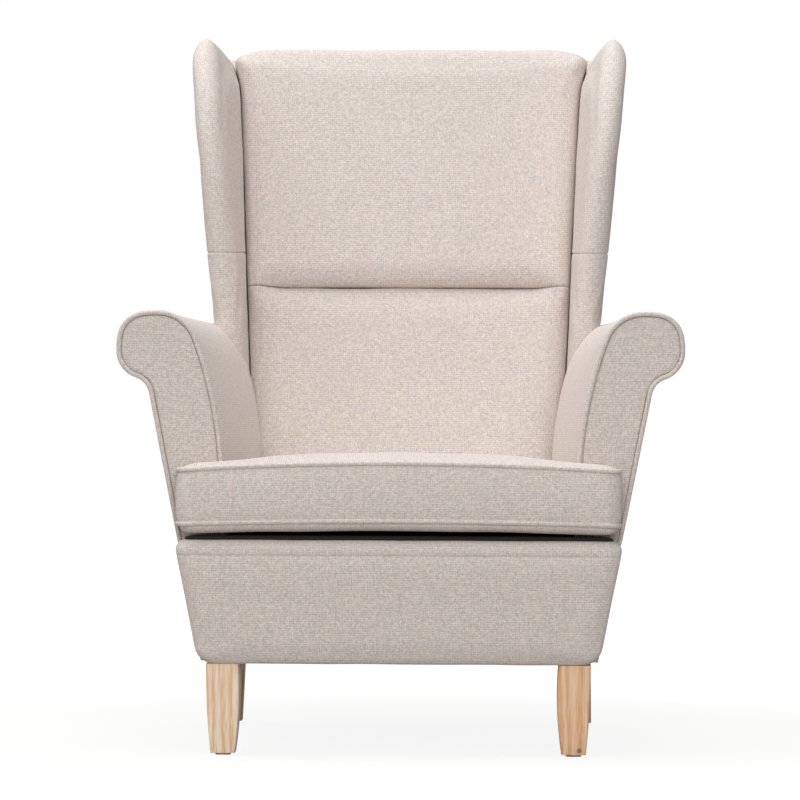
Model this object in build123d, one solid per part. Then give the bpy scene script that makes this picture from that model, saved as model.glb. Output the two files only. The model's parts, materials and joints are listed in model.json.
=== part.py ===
from build123d import *

import math
import os

# A winged bergere armchair: a wooden frame, foam pads, sewn covers, a loose T-shaped seat
# cushion and tapered legs. Millimetres, +Z up, the floor at z = 0 and the front towards -Y.
# The right-hand pieces are modelled at +X and mirrored. "left" and "right" are as seen by
# someone standing in front of the chair.

# Materials and fits
COVER = 2.0
FIT = 0.3
PANEL = 4.0
BOARD = 24.0
PIPING_R = 3.5

# Overall stations
OVERALL_DEPTH = 828.0
BASE_BOTTOM_Z = 128.0
BACK_TOP_Z = 1056.0
CUSHION_FRONT_Y = -OVERALL_DEPTH / 2
APRON_SET_BACK = 2.0
APRON_FRONT_Y = CUSHION_FRONT_Y + APRON_SET_BACK
ARM_SET_BACK = 69.0
ARM_FRONT_Y = CUSHION_FRONT_Y + ARM_SET_BACK
SIDE_REAR_SET = 124.0
SIDE_REAR_Y = OVERALL_DEPTH / 2 - SIDE_REAR_SET

# Rolled arm, as half widths at the front
ARM_TOP_Z = 622.0
ARM_HALF_WIDTH = 400.0
ARM_WIDTH = 156.0
ARM_INNER_X = ARM_HALF_WIDTH - ARM_WIDTH
ARM_INNER_LEAN_DEG = 3.0
ARM_INNER_STRAIGHT_Z = 400.0
ARM_BOTTOM_Z = 296.0
ROLL_R = 58.0
ROLL_UNDER_R = 44.0
ROLL_NECK_R = 28.0
ROLL_OVERHANG = 35.2
ARM_TAPER = 0.057
ARM_SLAB = 31.0
PIPING_PROUD = 2.5
FACING_DEPTH = 2 * PIPING_R + FIT
ARM_REAR_GAP = 1.5
ARM_POST_DEPTH = 76.0
ARM_RAIL_SHORT = 14.0

# Outside planes of the base and back, as half widths
SIDE_FLARE = 120.0
BASE_HALF_WIDTH = ARM_HALF_WIDTH - SIDE_FLARE
SIDE_LEAN = (SIDE_FLARE - ROLL_OVERHANG) / (ARM_TOP_Z - ROLL_R - BASE_BOTTOM_Z)
REAR_SPREAD = 4.0
REAR_HALF_WIDTH = BASE_HALF_WIDTH + REAR_SPREAD
REAR_SPREAD_AT_ARM = 10.0
REAR_HALF_AT_ARM = BASE_HALF_WIDTH + REAR_SPREAD_AT_ARM
WING_LEAN = 0.10
WING_THICKNESS = 38.0
BACK_HALF_AT_ARM = REAR_HALF_AT_ARM - WING_THICKNESS
BACK_HALF_LEAN = 0.0545

# Padded apron
APRON_TOP_Z = 301.0
APRON_FOOT_R = 26.0
APRON_TOP_R = 14.0
APRON_EDGE_R = 14.0
FRONT_RAIL_SET = 14.0

# The raked back: a plane through the inside back where the seat meets it
BACK_RAKE_DEG = 14.0
SEAT_BACK_Z = 410.0
BACK_DEPTH = 116.0
PAD_DEPTH = 58.0
TUCK_Z = 686.0
TUCK_GAP = 1.0
LOWER_PAD_FOOT_Z = 314.0
PAD_EDGE = 20.0
PAD_EDGE_DRAW = 60.0
PAD_EDGE_POWER = 1.4
PAD_CORNER_R = 16.0
UPPER_CROWN = 6.0
LOWER_CROWN = -6.0
WEBBING = 2.0
WEBBING_WIDTH = 50.0
WEBBING_COUNT = 3
LUMBAR_DROP = 40.0
LUMBAR_RAIL_Z = TUCK_Z - LUMBAR_DROP
BACK_RAIL_HEIGHT = 70.0
REAR_RAIL_HEIGHT = 110.0
OUTSIDE_TOP_R = 24.0
OUTSIDE_WAIST_R = 60.0
OUTSIDE_FOOT_R = 4.0

# Depths of the back's upright behind its inside surface, and how far it stands inside the wing's outer face
POST_GAP = 3.0
POST_FRONT = PAD_DEPTH + POST_GAP
POST_REAR = BACK_DEPTH - PANEL - FIT
POST_INSET = PANEL + FIT + COVER
POST_SHORT = 26.0
POST_TOP_Z = BACK_TOP_Z - POST_SHORT
ROOM_BELOW_NECK = 20.0
ROOM_OVER_POST = 2.0
COVER_OVERLAP = 20.0

# Seat cushion
CUSHION_OVERHANG = 29.0
CUSHION_HALF_WIDTH = BASE_HALF_WIDTH + CUSHION_OVERHANG
CUSHION_EAR_GAP = 7.0
CUSHION_EAR_Y = ARM_FRONT_Y - CUSHION_EAR_GAP
CUSHION_ARM_GAP = 1.5
CUSHION_LOW_PIPING_Z = 322.0
CUSHION_BOXING_HEIGHT = 80.0
CUSHION_HIGH_PIPING_Z = CUSHION_LOW_PIPING_Z + CUSHION_BOXING_HEIGHT
CUSHION_BELLY = 13.0
CUSHION_CROWN = 17.0
CUSHION_WALL = 8.0
CUSHION_BOXING = 5.5
CUSHION_BACK_GAP = 3.5
CROWN_STEPS = 5
CROWN_EAR_MIN = 8.0
CROWN_FRONT_SHARE = 0.86
CROWN_SIDE_DRAW = 60.0
CROWN_NECK_DRAW = 76.0
CROWN_BACK_DRAW = 66.0
CUSHION_FRONT_R = 24.0
CUSHION_EAR_R = 14.0
CUSHION_NECK_R = 6.0
CUSHION_BACK_R = 26.0
CROWN_CORNER_R = 3.0
GROOVE_R = 4.15
GROOVE_ANGLES = (-76.0, -31.0, 14.0, 59.0)

# The zip in the cushion's rear face
CUSHION_ZIP_Z = CUSHION_LOW_PIPING_Z + CUSHION_BOXING_HEIGHT / 2
ZIP_BAND = 28.0
ZIP_LENGTH = 380.0
ZIP_TAPE = 24.0
ZIP_TAPE_DEPTH = 0.8
ZIP_CHAIN = 6.0
ZIP_CHAIN_DEPTH = 1.8
ZIP_END = 10.0
SLIDER = (12.0, 10.0, 1.6)
SLIDER_PULL = (6.0, 22.0, 1.0)
SLIDER_PULL_DROP = 8.0

# Wings
WING_REACH = 116.4
WING_SWEEP = 150.0
WING_SEAM_Z = 735.0
WING_JOINT = 0.8
WING_RISE = 6.0
WING_TOP_Z = BACK_TOP_Z + WING_RISE
WING_ROUND = 34.0
WING_ROUND_IN = 15.3
WING_ROUND_STEPS = (1.0, 0.55, 0.22, 0.03)
WING_FRONT_CAP = 4.0
WING_FLARE_OUT = 6.0
WING_FLARE_IN = 16.0
WING_FLARE_RISE = 300.0
WING_NOSE_IN = 4.0
WING_SWEEP_POWER = 2.2
WING_STEPS = 5
WING_BOARD = 15.0
WING_BOARD_SET = 26.0

# Seat suspension
SPRING_COUNT = 4
SPRING_SPACING = 112.0
SPRING_WIRE_R = 1.8
SPRING_HALF_WIDTH = 24.0
SPRING_TURN_R = 11.0
SPRING_END = 8.0
RAIL_TOP_Z = 288.0
SIDE_RAIL_HEIGHT = 100.0
RAIL_BOTTOM_Z = BASE_BOTTOM_Z + COVER + FIT
SPRING_RISE = 3.0
SPRING_Z = RAIL_TOP_Z + SPRING_RISE + SPRING_WIRE_R
SPRING_RAIL_GAP = 2.5
SPRING_RAIL_LIFT = 20.0
CLIP_SEAT = 0.1
CLIP_PLATE = (16.0, 18.0, 2.0)
CLIP_BRIDGE = (12.0, 9.0, 9.0)
CLIP_CLEARANCE = 0.2
CORNER_BLOCK = 60.0
CORNER_BLOCK_HEIGHT = 80.0
CORNER_BLOCK_LIFT = 8.0
DECK_TOP_Z = CUSHION_LOW_PIPING_Z - CUSHION_BELLY - FIT
DECK_CLOTH = 1.2
DECK_DOME = 4.0
DECK_DOME_IN = 40.0
DECK_SIDE_GAP = 2.0
DECK_REAR_GAP = 4.0
DECK_CORNER_R = 20.0
DECK_HEM = 1.0
DUST_COVER = 1.5
DUST_COVER_FRONT_SET = 4.0
DUST_COVER_SIDE_SET = 11.0

# Legs
LEG_TOP_Z = BASE_BOTTOM_Z - FIT
GLIDE = 3.0
GLIDE_R = 11.0
LEG_TOP = 45.0
LEG_FOOT = 34.0
LEG_EDGE_R = 3.0
LEG_KNEE_Z = 96.0
LEG_KNEE_SWELL = 1.0
FRONT_LEG_INSET = 34.0
FRONT_LEG = (BASE_HALF_WIDTH - FRONT_LEG_INSET, ARM_FRONT_Y - FIT - BOARD / 2)
FRONT_LEG_AHEAD = 10.0
FRONT_LEG_TOE_IN = 1.0
REAR_LEG_SIDE_TOP = 37.0
REAR_LEG_SIDE_FOOT = 31.0
REAR_LEG_RAKE = 50.0
REAR_LEG_SPLAY = 6.0
BOLT_R = 4.0
INSERT_R = 6.0
BOLT_CLEARANCE = 0.1
BOLT_LENGTH = 70.0
BOLT_LOW_Z = LEG_TOP_Z - BOLT_LENGTH / 2
INSERT_LENGTH = 22.0

RAKE = math.tan(math.radians(BACK_RAKE_DEG))
RAKE_COS = math.cos(math.radians(BACK_RAKE_DEG))
RAKE_SIN = math.sin(math.radians(BACK_RAKE_DEG))
SEAT_BACK_Y = OVERALL_DEPTH / 2 - BACK_DEPTH / RAKE_COS - (BACK_TOP_Z - SEAT_BACK_Z) * RAKE
BACK_PLANE = Plane(origin=(0, SEAT_BACK_Y, SEAT_BACK_Z), x_dir=(1, 0, 0), z_dir=(0, -RAKE_COS, RAKE_SIN))


# Sizes that several pieces share

def front_half(z):
    """Half width of the outside plane at the front of the arms."""
    return BASE_HALF_WIDTH + (z - BASE_BOTTOM_Z) * SIDE_LEAN


def outer_half(z):
    """Half width of the chair's back, straight below the arms and flaring above them."""
    if z > ARM_TOP_Z:
        return REAR_HALF_AT_ARM + (z - ARM_TOP_Z) * WING_LEAN
    return below_arm_half(z)


def below_arm_half(z):
    """Half width of the back below the arms, a straight line that the side panels also use above it."""
    share = (z - BASE_BOTTOM_Z) / (ARM_TOP_Z - BASE_BOTTOM_Z)
    return REAR_HALF_WIDTH + (REAR_HALF_AT_ARM - REAR_HALF_WIDTH) * share


def side_half(z, y):
    """Half width of the stretched outside panel, which twists from the front plane to the back's side."""
    share = (y - ARM_FRONT_Y) / (SIDE_REAR_Y - ARM_FRONT_Y)
    return front_half(z) + (below_arm_half(z) - front_half(z)) * share


def inside_half(z):
    """Half width of the inside back between the wings."""
    return BACK_HALF_AT_ARM + (z - ARM_TOP_Z) * BACK_HALF_LEAN


def inside_y(z):
    """The inside back's surface."""
    return SEAT_BACK_Y + (z - SEAT_BACK_Z) * RAKE


def outside_y(z):
    """The outside back's surface."""
    return inside_y(z) + BACK_DEPTH / RAKE_COS


def arm_shift(y):
    """How far the arm's section has moved inwards at a station."""
    return (y - ARM_FRONT_Y) * ARM_TAPER


def arm_inner(z, y):
    """Half width between the arms' straight inner faces."""
    return ARM_INNER_X + (z - ARM_BOTTOM_Z) * math.tan(math.radians(ARM_INNER_LEAN_DEG)) - arm_shift(y)


def post_centre():
    """Where the middle of the raked back post meets the base."""
    x = outer_half(RAIL_BOTTOM_Z) - POST_INSET - BOARD / 2
    return x, inside_y(RAIL_BOTTOM_Z) + (POST_FRONT + POST_REAR) / 2 / RAKE_COS


REAR_LEG = post_centre()
WING_FRONT_Y = inside_y(WING_SEAM_Z) - WING_REACH
WING_STEP = (WING_TOP_Z - WING_ROUND - WING_SEAM_Z) / WING_STEPS
WING_STATIONS = [WING_SEAM_Z + WING_STEP * i for i in range(WING_STEPS)]
SPRING_RAIL_Y = inside_y(RAIL_BOTTOM_Z) + POST_FRONT / RAKE_COS - BOARD - SPRING_RAIL_GAP
CUSHION_NECK_FRONT = arm_inner(CUSHION_LOW_PIPING_Z, ARM_FRONT_Y) - CUSHION_ARM_GAP
CUSHION_NECK_BACK = arm_inner(CUSHION_LOW_PIPING_Z, SEAT_BACK_Y) - CUSHION_ARM_GAP


# Small shape helpers

def both_sides(name, shape):
    """The right-hand piece and its mirror image, by name."""
    return {f"right_{name}": shape, f"left_{name}": mirror(shape, about=Plane.YZ)}


def ruled_loft(outlines):
    """A solid through polygons of 3-D points."""
    wires = [Wire.make_polygon([Vector(*p) for p in points], close=True) for points in outlines]
    return Solid.make_loft(wires, ruled=True)


def corner(before, at, after, radius):
    """The tangent points and the middle of a rounded corner of a 2-D outline."""
    p, a, b = Vector(*at), Vector(*before), Vector(*after)
    to_a, to_b = (a - p).normalized(), (b - p).normalized()
    half = math.radians(to_a.get_angle(to_b)) / 2
    bisector = (to_a + to_b).normalized()
    reach = radius / math.tan(half)
    middle = p + bisector * (radius / math.sin(half) - radius)
    return p + to_a * reach, middle, p + to_b * reach


def rounded_wire(points, radii, plane):
    """A closed wire of lines and arcs on a plane."""
    count = len(points)
    corners = [corner(points[i - 1], points[i], points[(i + 1) % count], radii[i]) for i in range(count)]
    edges = []
    for i, (start, middle, end) in enumerate(corners):
        following = corners[(i + 1) % count][0]
        edges.append(Edge.make_three_point_arc(*[plane.from_local_coords(q) for q in (start, middle, end)]))
        edges.append(Edge.make_line(plane.from_local_coords(end), plane.from_local_coords(following)))
    return Wire(edges)


def tube(edges, radius):
    """A round cord along a run of edges."""
    path = Wire(edges)
    start = Plane(origin=path @ 0, z_dir=path % 0)
    return sweep(start * Circle(radius), path=path)


def chain_edges(points):
    """Edges from a list of ("line", end) and ("arc", middle, end) steps after a first point."""
    edges, here = [], points[0]
    for step in points[1:]:
        if step[0] == "line":
            edges.append(Edge.make_line(here, step[1]))
        else:
            edges.append(Edge.make_three_point_arc(here, step[1], step[2]))
        here = step[-1]
    return edges


# Rolled arms

def arc_point(centre, radius, angle):
    return Vector(centre.X + radius * math.cos(angle), centre.Y + radius * math.sin(angle))


def angle_to(centre, point):
    return math.atan2(point.Y - centre.Y, point.X - centre.X)


def arm_profile(inset):
    """The arm's outline at the front, from its inner foot over the roll to the outside plane.

    It is given as a first point and the steps after it.
    """
    lean = math.radians(ARM_INNER_LEAN_DEG)
    up, inward = Vector(math.sin(lean), math.cos(lean)), Vector(math.cos(lean), -math.sin(lean))
    foot = Vector(ARM_INNER_X, ARM_BOTTOM_Z)
    straight_end = foot + up * ((ARM_INNER_STRAIGHT_Z - ARM_BOTTOM_Z) / up.Y)
    roll = Vector(ARM_HALF_WIDTH - ROLL_R, ARM_TOP_Z - ROLL_R)
    # The long inner arc leaves the straight tangentially and runs into the roll tangentially.
    to_roll = straight_end - roll
    inner_r = (ROLL_R ** 2 - to_roll.dot(to_roll)) / (2 * (inward.dot(to_roll) + ROLL_R))
    inner_centre = straight_end + inward * inner_r
    inner_end = angle_to(inner_centre, roll)
    under = Vector(ARM_HALF_WIDTH - ROLL_UNDER_R, roll.Y)
    # The neck under the roll is a hollow arc, tangent to the roll's under side and to the outside plane.
    tilt = math.atan(SIDE_LEAN)
    along, out = Vector(math.sin(tilt), math.cos(tilt)), Vector(math.cos(tilt), -math.sin(tilt))
    on_plane = Vector(front_half(roll.Y), roll.Y) + out * ROLL_NECK_R
    gap = on_plane - under
    b, c = gap.dot(along), gap.dot(gap) - (ROLL_UNDER_R + ROLL_NECK_R) ** 2
    neck = on_plane + along * (-b - math.sqrt(b * b - c))
    neck_start, neck_end = angle_to(neck, under), math.atan2(-out.Y, -out.X)
    under_end = angle_to(under, neck)
    r_in, r_roll, r_under, r_neck = inner_r - inset, ROLL_R - inset, ROLL_UNDER_R - inset, ROLL_NECK_R + inset
    start_angle = math.atan2(-inward.Y, -inward.X)
    if start_angle < 0:
        start_angle += 2 * math.pi
    inner_middle = (start_angle + inner_end) / 2
    turn_end = neck_end if neck_end > neck_start else neck_end + 2 * math.pi
    first = foot + inward * inset
    steps = [
        ("line", arc_point(inner_centre, r_in, start_angle)),
        ("arc", arc_point(inner_centre, r_in, inner_middle), arc_point(roll, r_roll, inner_end)),
        ("arc", arc_point(roll, r_roll, inner_end / 2), arc_point(roll, r_roll, 0)),
        ("arc", arc_point(under, r_under, under_end / 2), arc_point(under, r_under, under_end)),
        ("arc", arc_point(neck, r_neck, (neck_start + turn_end) / 2), arc_point(neck, r_neck, turn_end)),
    ]
    return first, steps


NECK_Z = arm_profile(0)[1][-1][-1].Y


def placed(step, y):
    """A profile step, or point, moved into 3-D at a station along the arm."""
    if isinstance(step, Vector):
        return Vector(step.X - arm_shift(y), y, step.Y)
    return (step[0],) + tuple(placed(p, y) for p in step[1:])


def arm_section(y, inset):
    """The padded arm's closed section: the roll over the arm rail, and the pad inside the frame."""
    first, steps = arm_profile(inset)
    neck_z = steps[-1][-1].Y
    foot_z = ARM_BOTTOM_Z + inset
    slab_low, slab_high = side_half(foot_z, y) - ARM_SLAB - inset, side_half(neck_z, y) - ARM_SLAB - inset
    chain = [placed(first, y)] + [placed(s, y) for s in steps]
    chain[0] = Vector(chain[0].X, y, foot_z)
    chain.append(("line", Vector(slab_high, y, neck_z)))
    chain.append(("line", Vector(slab_low, y, foot_z)))
    chain.append(("line", chain[0]))
    return Wire(chain_edges(chain))


def arm_body(inset, front_y, rear_gap):
    """The arm from its front to the raked inside back."""
    far_y = inside_y(ARM_TOP_Z) + COVER
    body = Solid.make_loft([arm_section(front_y, inset), arm_section(far_y, inset)], ruled=True)
    keep = BACK_PLANE.offset(rear_gap + inset)
    return split(body, bisect_by=keep, keep=Keep.TOP)


def arm_frame():
    """The boards of one side: a front post, a rail inside the roll and the side rail at the base."""
    post_front, post_rear = ARM_FRONT_Y + FACING_DEPTH + FIT, ARM_FRONT_Y + ARM_POST_DEPTH
    rail_top = ARM_TOP_Z - ROLL_R
    rail_rear = inside_y(NECK_Z) - ARM_RAIL_SHORT
    post = side_board(RAIL_BOTTOM_Z, rail_top, post_front, post_rear)
    arm_rail = side_board(NECK_Z, rail_top, post_rear + FIT, rail_rear)
    side_rail_rear = inside_y(RAIL_BOTTOM_Z) + POST_FRONT / RAKE_COS - FIT
    side_rail = side_board(RAIL_BOTTOM_Z, RAIL_BOTTOM_Z + SIDE_RAIL_HEIGHT, post_rear + FIT, side_rail_rear)
    return post, arm_rail, side_rail


def side_board(z0, z1, y0, y1):
    """A board just inside the stretched outside panel, following its twist."""
    outer, inner = PANEL + FIT, PANEL + FIT + BOARD
    ends = []
    for y in (y0, y1):
        ends.append([
            (side_half(z0, y) - inner, y, z0), (side_half(z0, y) - outer, y, z0),
            (side_half(z1, y) - outer, y, z1), (side_half(z1, y) - inner, y, z1),
        ])
    return ruled_loft(ends)


def arms():
    post, arm_rail, side_rail = arm_frame()
    cover_front = ARM_FRONT_Y + FACING_DEPTH
    cover = arm_body(0, cover_front, ARM_REAR_GAP) - arm_body(COVER, cover_front - 1, ARM_REAR_GAP)
    pad = arm_body(COVER + FIT, cover_front, ARM_REAR_GAP) - post - arm_rail
    cover = cover - post - arm_rail
    parts = {}
    parts.update(both_sides("arm_post", post))
    parts.update(both_sides("arm_rail", arm_rail))
    parts.update(both_sides("side_rail", side_rail))
    parts.update(both_sides("arm_pad", pad))
    parts.update(both_sides("arm_cover", cover))
    parts.update(both_sides("arm_facing", arm_facing()))
    parts.update(both_sides("arm_piping", arm_piping()))
    parts.update(both_sides("outside_arm_panel", outside_arm_panel()))
    return parts


def arm_facing():
    """The flat scroll-shaped panel inside the piping."""
    inset = 2 * PIPING_R + FIT
    first, steps = arm_profile(inset)
    foot = Vector(front_half(ARM_BOTTOM_Z) - inset, ARM_BOTTOM_Z)
    y = ARM_FRONT_Y
    chain = [placed(first, y)] + [placed(s, y) for s in steps]
    chain.append(("line", placed(foot, y)))
    chain.append(("line", chain[0]))
    face = Face(Wire(chain_edges(chain))).translate(Vector(0, PIPING_PROUD, 0))
    return extrude(face, FACING_DEPTH - PIPING_PROUD - FIT, dir=(0, 1, 0))


def arm_piping():
    """The covered cord round the facing's edge, from the inner foot over the roll to the outer foot."""
    first, steps = arm_profile(PIPING_R)
    foot = Vector(front_half(ARM_BOTTOM_Z) - PIPING_R, ARM_BOTTOM_Z)
    shift = Vector(0, PIPING_R, 0)
    chain = [placed(first, ARM_FRONT_Y)] + [placed(s, ARM_FRONT_Y) for s in steps]
    chain.append(("line", placed(foot, ARM_FRONT_Y)))
    edges = [e.translate(shift) for e in chain_edges(chain)]
    return tube(edges, PIPING_R)


def outside_arm_panel():
    """Board-backed cloth stretched from the arm's neck to the base, twisting towards the back."""
    top = NECK_Z - FIT
    low = BASE_BOTTOM_Z
    rear = outside_y(top) + PANEL
    ends = []
    for y in (ARM_FRONT_Y + FACING_DEPTH, rear):
        ends.append([
            (side_half(low, y) - PANEL, y, low), (side_half(low, y), y, low),
            (side_half(top, y), y, top), (side_half(top, y) - PANEL, y, top),
        ])
    keep = BACK_PLANE.offset(-BACK_DEPTH + PANEL + FIT)
    return split(ruled_loft(ends), bisect_by=keep, keep=Keep.TOP)


# The raked back, its frame and the wings

def back_quad(z, depth_front, depth_rear, x0, x1):
    """Four points across the raked back at one height, between two depths behind the inside back."""
    front, rear = inside_y(z) + depth_front / RAKE_COS, inside_y(z) + depth_rear / RAKE_COS
    return [(x0, front, z), (x1, front, z), (x1, rear, z), (x0, rear, z)]


def back_post():
    """The raked upright at each side, from the base to the top rail."""
    quads = []
    for z in (RAIL_BOTTOM_Z, ARM_TOP_Z, POST_TOP_Z):
        outer = outer_half(z) - POST_INSET
        quads.append(back_quad(z, POST_FRONT, POST_REAR, outer - BOARD, outer))
    return ruled_loft(quads) - bore(*REAR_LEG)


def back_room():
    """The right half of the room that the back's frame takes inside pads and covers."""
    quads = []
    for z in (NECK_Z - ROOM_BELOW_NECK, ARM_TOP_Z, POST_TOP_Z + ROOM_OVER_POST):
        quads.append(back_quad(z, PAD_DEPTH, 2 * BACK_DEPTH, 0, outer_half(z) - POST_INSET + FIT))
    return ruled_loft(quads)


def back_rail(z0, z1):
    """A rail between the two back posts."""
    quads = []
    for z in (z0, z1):
        half = outer_half(z) - POST_INSET - BOARD - FIT
        quads.append(back_quad(z, POST_FRONT, POST_FRONT + BOARD, -half, half))
    return ruled_loft(quads)


def webbing():
    """Elastic straps stretched over the front of the back posts, evenly spaced between the rails."""
    straps = []
    rear = POST_FRONT - FIT / 2
    upper_room = (LUMBAR_RAIL_Z + BACK_RAIL_HEIGHT, POST_TOP_Z - BACK_RAIL_HEIGHT)
    for low, high in ((SEAT_BACK_Z, LUMBAR_RAIL_Z), upper_room):
        space = (high - low - WEBBING_COUNT * WEBBING_WIDTH) / (WEBBING_COUNT + 1)
        for i in range(WEBBING_COUNT):
            strap_z = low + space + i * (space + WEBBING_WIDTH)
            quads = []
            for z in (strap_z, strap_z + WEBBING_WIDTH):
                half = outer_half(z) - POST_INSET - WING_BOARD - 2 * FIT
                quads.append(back_quad(z, rear - WEBBING, rear, -half, half))
            straps.append(ruled_loft(quads))
    return Compound(children=straps)


def back_outline(z0, z1, inset, height):
    """An inside-back pad's four corners on a plane along the rake, counter-clockwise."""
    drop = SEAT_BACK_Z + height * RAKE_SIN
    v0, v1 = (z0 - drop) / RAKE_COS + inset, (z1 - drop) / RAKE_COS - inset
    low, high = inside_half(z0) - inset, inside_half(z1) - inset
    return [(-low, v0), (low, v0), (high, v1), (-high, v1)]


def back_pad(z0, z1, depth_rear, crown, inset):
    """A crowned pad along the rake, from its flat rear to its front."""
    stations = [(-depth_rear + inset, inset), (-PAD_EDGE, inset)]
    for i in range(1, CROWN_STEPS + 1):
        turn = math.radians(90 * i / CROWN_STEPS)
        edge = PAD_EDGE_DRAW * (1 - math.cos(turn)) ** PAD_EDGE_POWER
        rise = (PAD_EDGE + crown) * math.sin(turn) - inset * i / CROWN_STEPS
        stations.append((rise - PAD_EDGE, inset + edge))
    wires = []
    for height, drawn in stations:
        outline = back_outline(z0, z1, drawn, height)
        wires.append(rounded_wire(outline, [PAD_CORNER_R - inset] * 4, BACK_PLANE.offset(height)))
    return Solid.make_loft(wires, ruled=True)


def inside_back():
    parts = {}
    # The upper cover goes over the top rail to the outside back; below the rail its hollow holds the frame.
    frame_room = back_room()
    frame_room = frame_room + mirror(frame_room, about=Plane.YZ)
    upper = back_pad(TUCK_Z, BACK_TOP_Z, POST_REAR, UPPER_CROWN, 0)
    upper_inner = back_pad(TUCK_Z, BACK_TOP_Z, POST_REAR + COVER_OVERLAP, UPPER_CROWN, COVER)
    upper_pad = back_pad(TUCK_Z, BACK_TOP_Z, POST_REAR, UPPER_CROWN, COVER + FIT)
    parts["upper_back_cover"] = upper - upper_inner - frame_room
    parts["upper_back_pad"] = upper_pad - frame_room
    lower_top = TUCK_Z - TUCK_GAP
    lower = back_pad(LOWER_PAD_FOOT_Z, lower_top, PAD_DEPTH, LOWER_CROWN, 0)
    lower_inner = back_pad(LOWER_PAD_FOOT_Z, lower_top, PAD_DEPTH + COVER_OVERLAP, LOWER_CROWN, COVER)
    parts["lower_back_cover"] = lower - lower_inner
    parts["lower_back_pad"] = back_pad(LOWER_PAD_FOOT_Z, lower_top, PAD_DEPTH, LOWER_CROWN, COVER + FIT)
    return parts


def wing_front_y(z):
    """The wing's front edge, sweeping back towards the top."""
    share = max(0.0, (z - WING_SEAM_Z) / (WING_TOP_Z - WING_SEAM_Z))
    return WING_FRONT_Y + WING_SWEEP * share ** WING_SWEEP_POWER


def wing_section(z, inset):
    """The wing's outline at one height: outer face, rounded front, inner face and the joint with the back."""
    q = max(0.0, (z - WING_TOP_Z + WING_ROUND) / WING_ROUND)
    drawn = inset + WING_ROUND_IN * (1 - math.sqrt(max(0.0, 1 - q * q)))
    front_z = min(z, WING_TOP_Z - WING_FRONT_CAP)
    share = min(1.0, max(0.0, (z - ARM_TOP_Z) / WING_FLARE_RISE))
    outer_rear, outer_front = outer_half(z) - drawn, outer_half(z) + WING_FLARE_OUT - drawn
    inner_rear = inside_half(z) + WING_JOINT + drawn
    inner_front = inner_rear + WING_NOSE_IN + WING_FLARE_IN * share
    front = wing_front_y(front_z) + drawn
    rear = outside_y(z) - (PANEL + FIT) / RAKE_COS - drawn
    nose = (outer_front - inner_front) / 2
    shoulder = front + nose
    middle = (outer_front + inner_front) / 2
    joint = max(shoulder + WING_NOSE_IN, inside_y(z))
    chain = [
        Vector(outer_rear, rear, z),
        ("line", Vector(outer_front, shoulder, z)),
        ("arc", Vector(middle, front, z), Vector(inner_front, shoulder, z)),
        ("line", Vector(inner_rear, joint, z)),
        ("line", Vector(inner_rear, rear, z)),
        ("line", Vector(outer_rear, rear, z)),
    ]
    return Wire(chain_edges(chain))


def wing_body(inset):
    """The padded wing from behind the arm to its rounded top."""
    heights = [NECK_Z + FIT + inset, ARM_TOP_Z, *WING_STATIONS]
    heights += [WING_TOP_Z - inset - WING_ROUND * s for s in WING_ROUND_STEPS]
    return Solid.make_loft([wing_section(z, inset) for z in heights], ruled=True)


def wing_board():
    """The plywood blade that stiffens the wing, fixed to the front of the back post."""
    quads = []
    for z in (ARM_TOP_Z + WING_BOARD, *WING_STATIONS):
        outer = outer_half(z) - POST_INSET
        front, rear = wing_front_y(z) + WING_BOARD_SET, inside_y(z) + (POST_FRONT - FIT) / RAKE_COS
        quads.append([
            (outer - WING_BOARD, front, z), (outer, front, z),
            (outer, rear, z), (outer - WING_BOARD, rear, z),
        ])
    return ruled_loft(quads)


def wings():
    arm = arm_body(-FIT, ARM_FRONT_Y, ARM_REAR_GAP - 2 * FIT)
    post, board = back_post(), wing_board()
    room = back_room()
    cover = wing_body(0) - wing_body(COVER) - arm - room
    pad = wing_body(COVER + FIT) - arm - room - board
    parts = both_sides("wing_cover", cover)
    parts.update(both_sides("wing_pad", pad))
    parts.update(both_sides("wing_board", board))
    parts.update(both_sides("back_post", post))
    return parts


def outside_back():
    """The cloth-covered panel closing the back."""
    plane = BACK_PLANE.offset(-BACK_DEPTH)
    heights = [BASE_BOTTOM_Z, ARM_TOP_Z, BACK_TOP_Z]
    points = [(outer_half(z), (z - SEAT_BACK_Z) / RAKE_COS + BACK_DEPTH * RAKE) for z in heights]
    outline = [(-x, v) for x, v in reversed(points)] + points
    radii = [OUTSIDE_TOP_R, OUTSIDE_WAIST_R, OUTSIDE_FOOT_R]
    wire = rounded_wire(outline, radii + radii[::-1], plane)
    return extrude(Face(wire), PANEL, dir=(0, -RAKE_COS, RAKE_SIN))


def back_frame():
    return {
        "top_back_rail": back_rail(POST_TOP_Z - BACK_RAIL_HEIGHT, POST_TOP_Z),
        "lumbar_rail": back_rail(LUMBAR_RAIL_Z, LUMBAR_RAIL_Z + BACK_RAIL_HEIGHT),
        "rear_rail": back_rail(RAIL_BOTTOM_Z, RAIL_BOTTOM_Z + REAR_RAIL_HEIGHT),
        "back_webbing": webbing(),
        "outside_back_panel": outside_back(),
    }


# Base: apron, rails, suspension and deck

RAIL_FRONT_Y = ARM_FRONT_Y - FIT - BOARD


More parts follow.
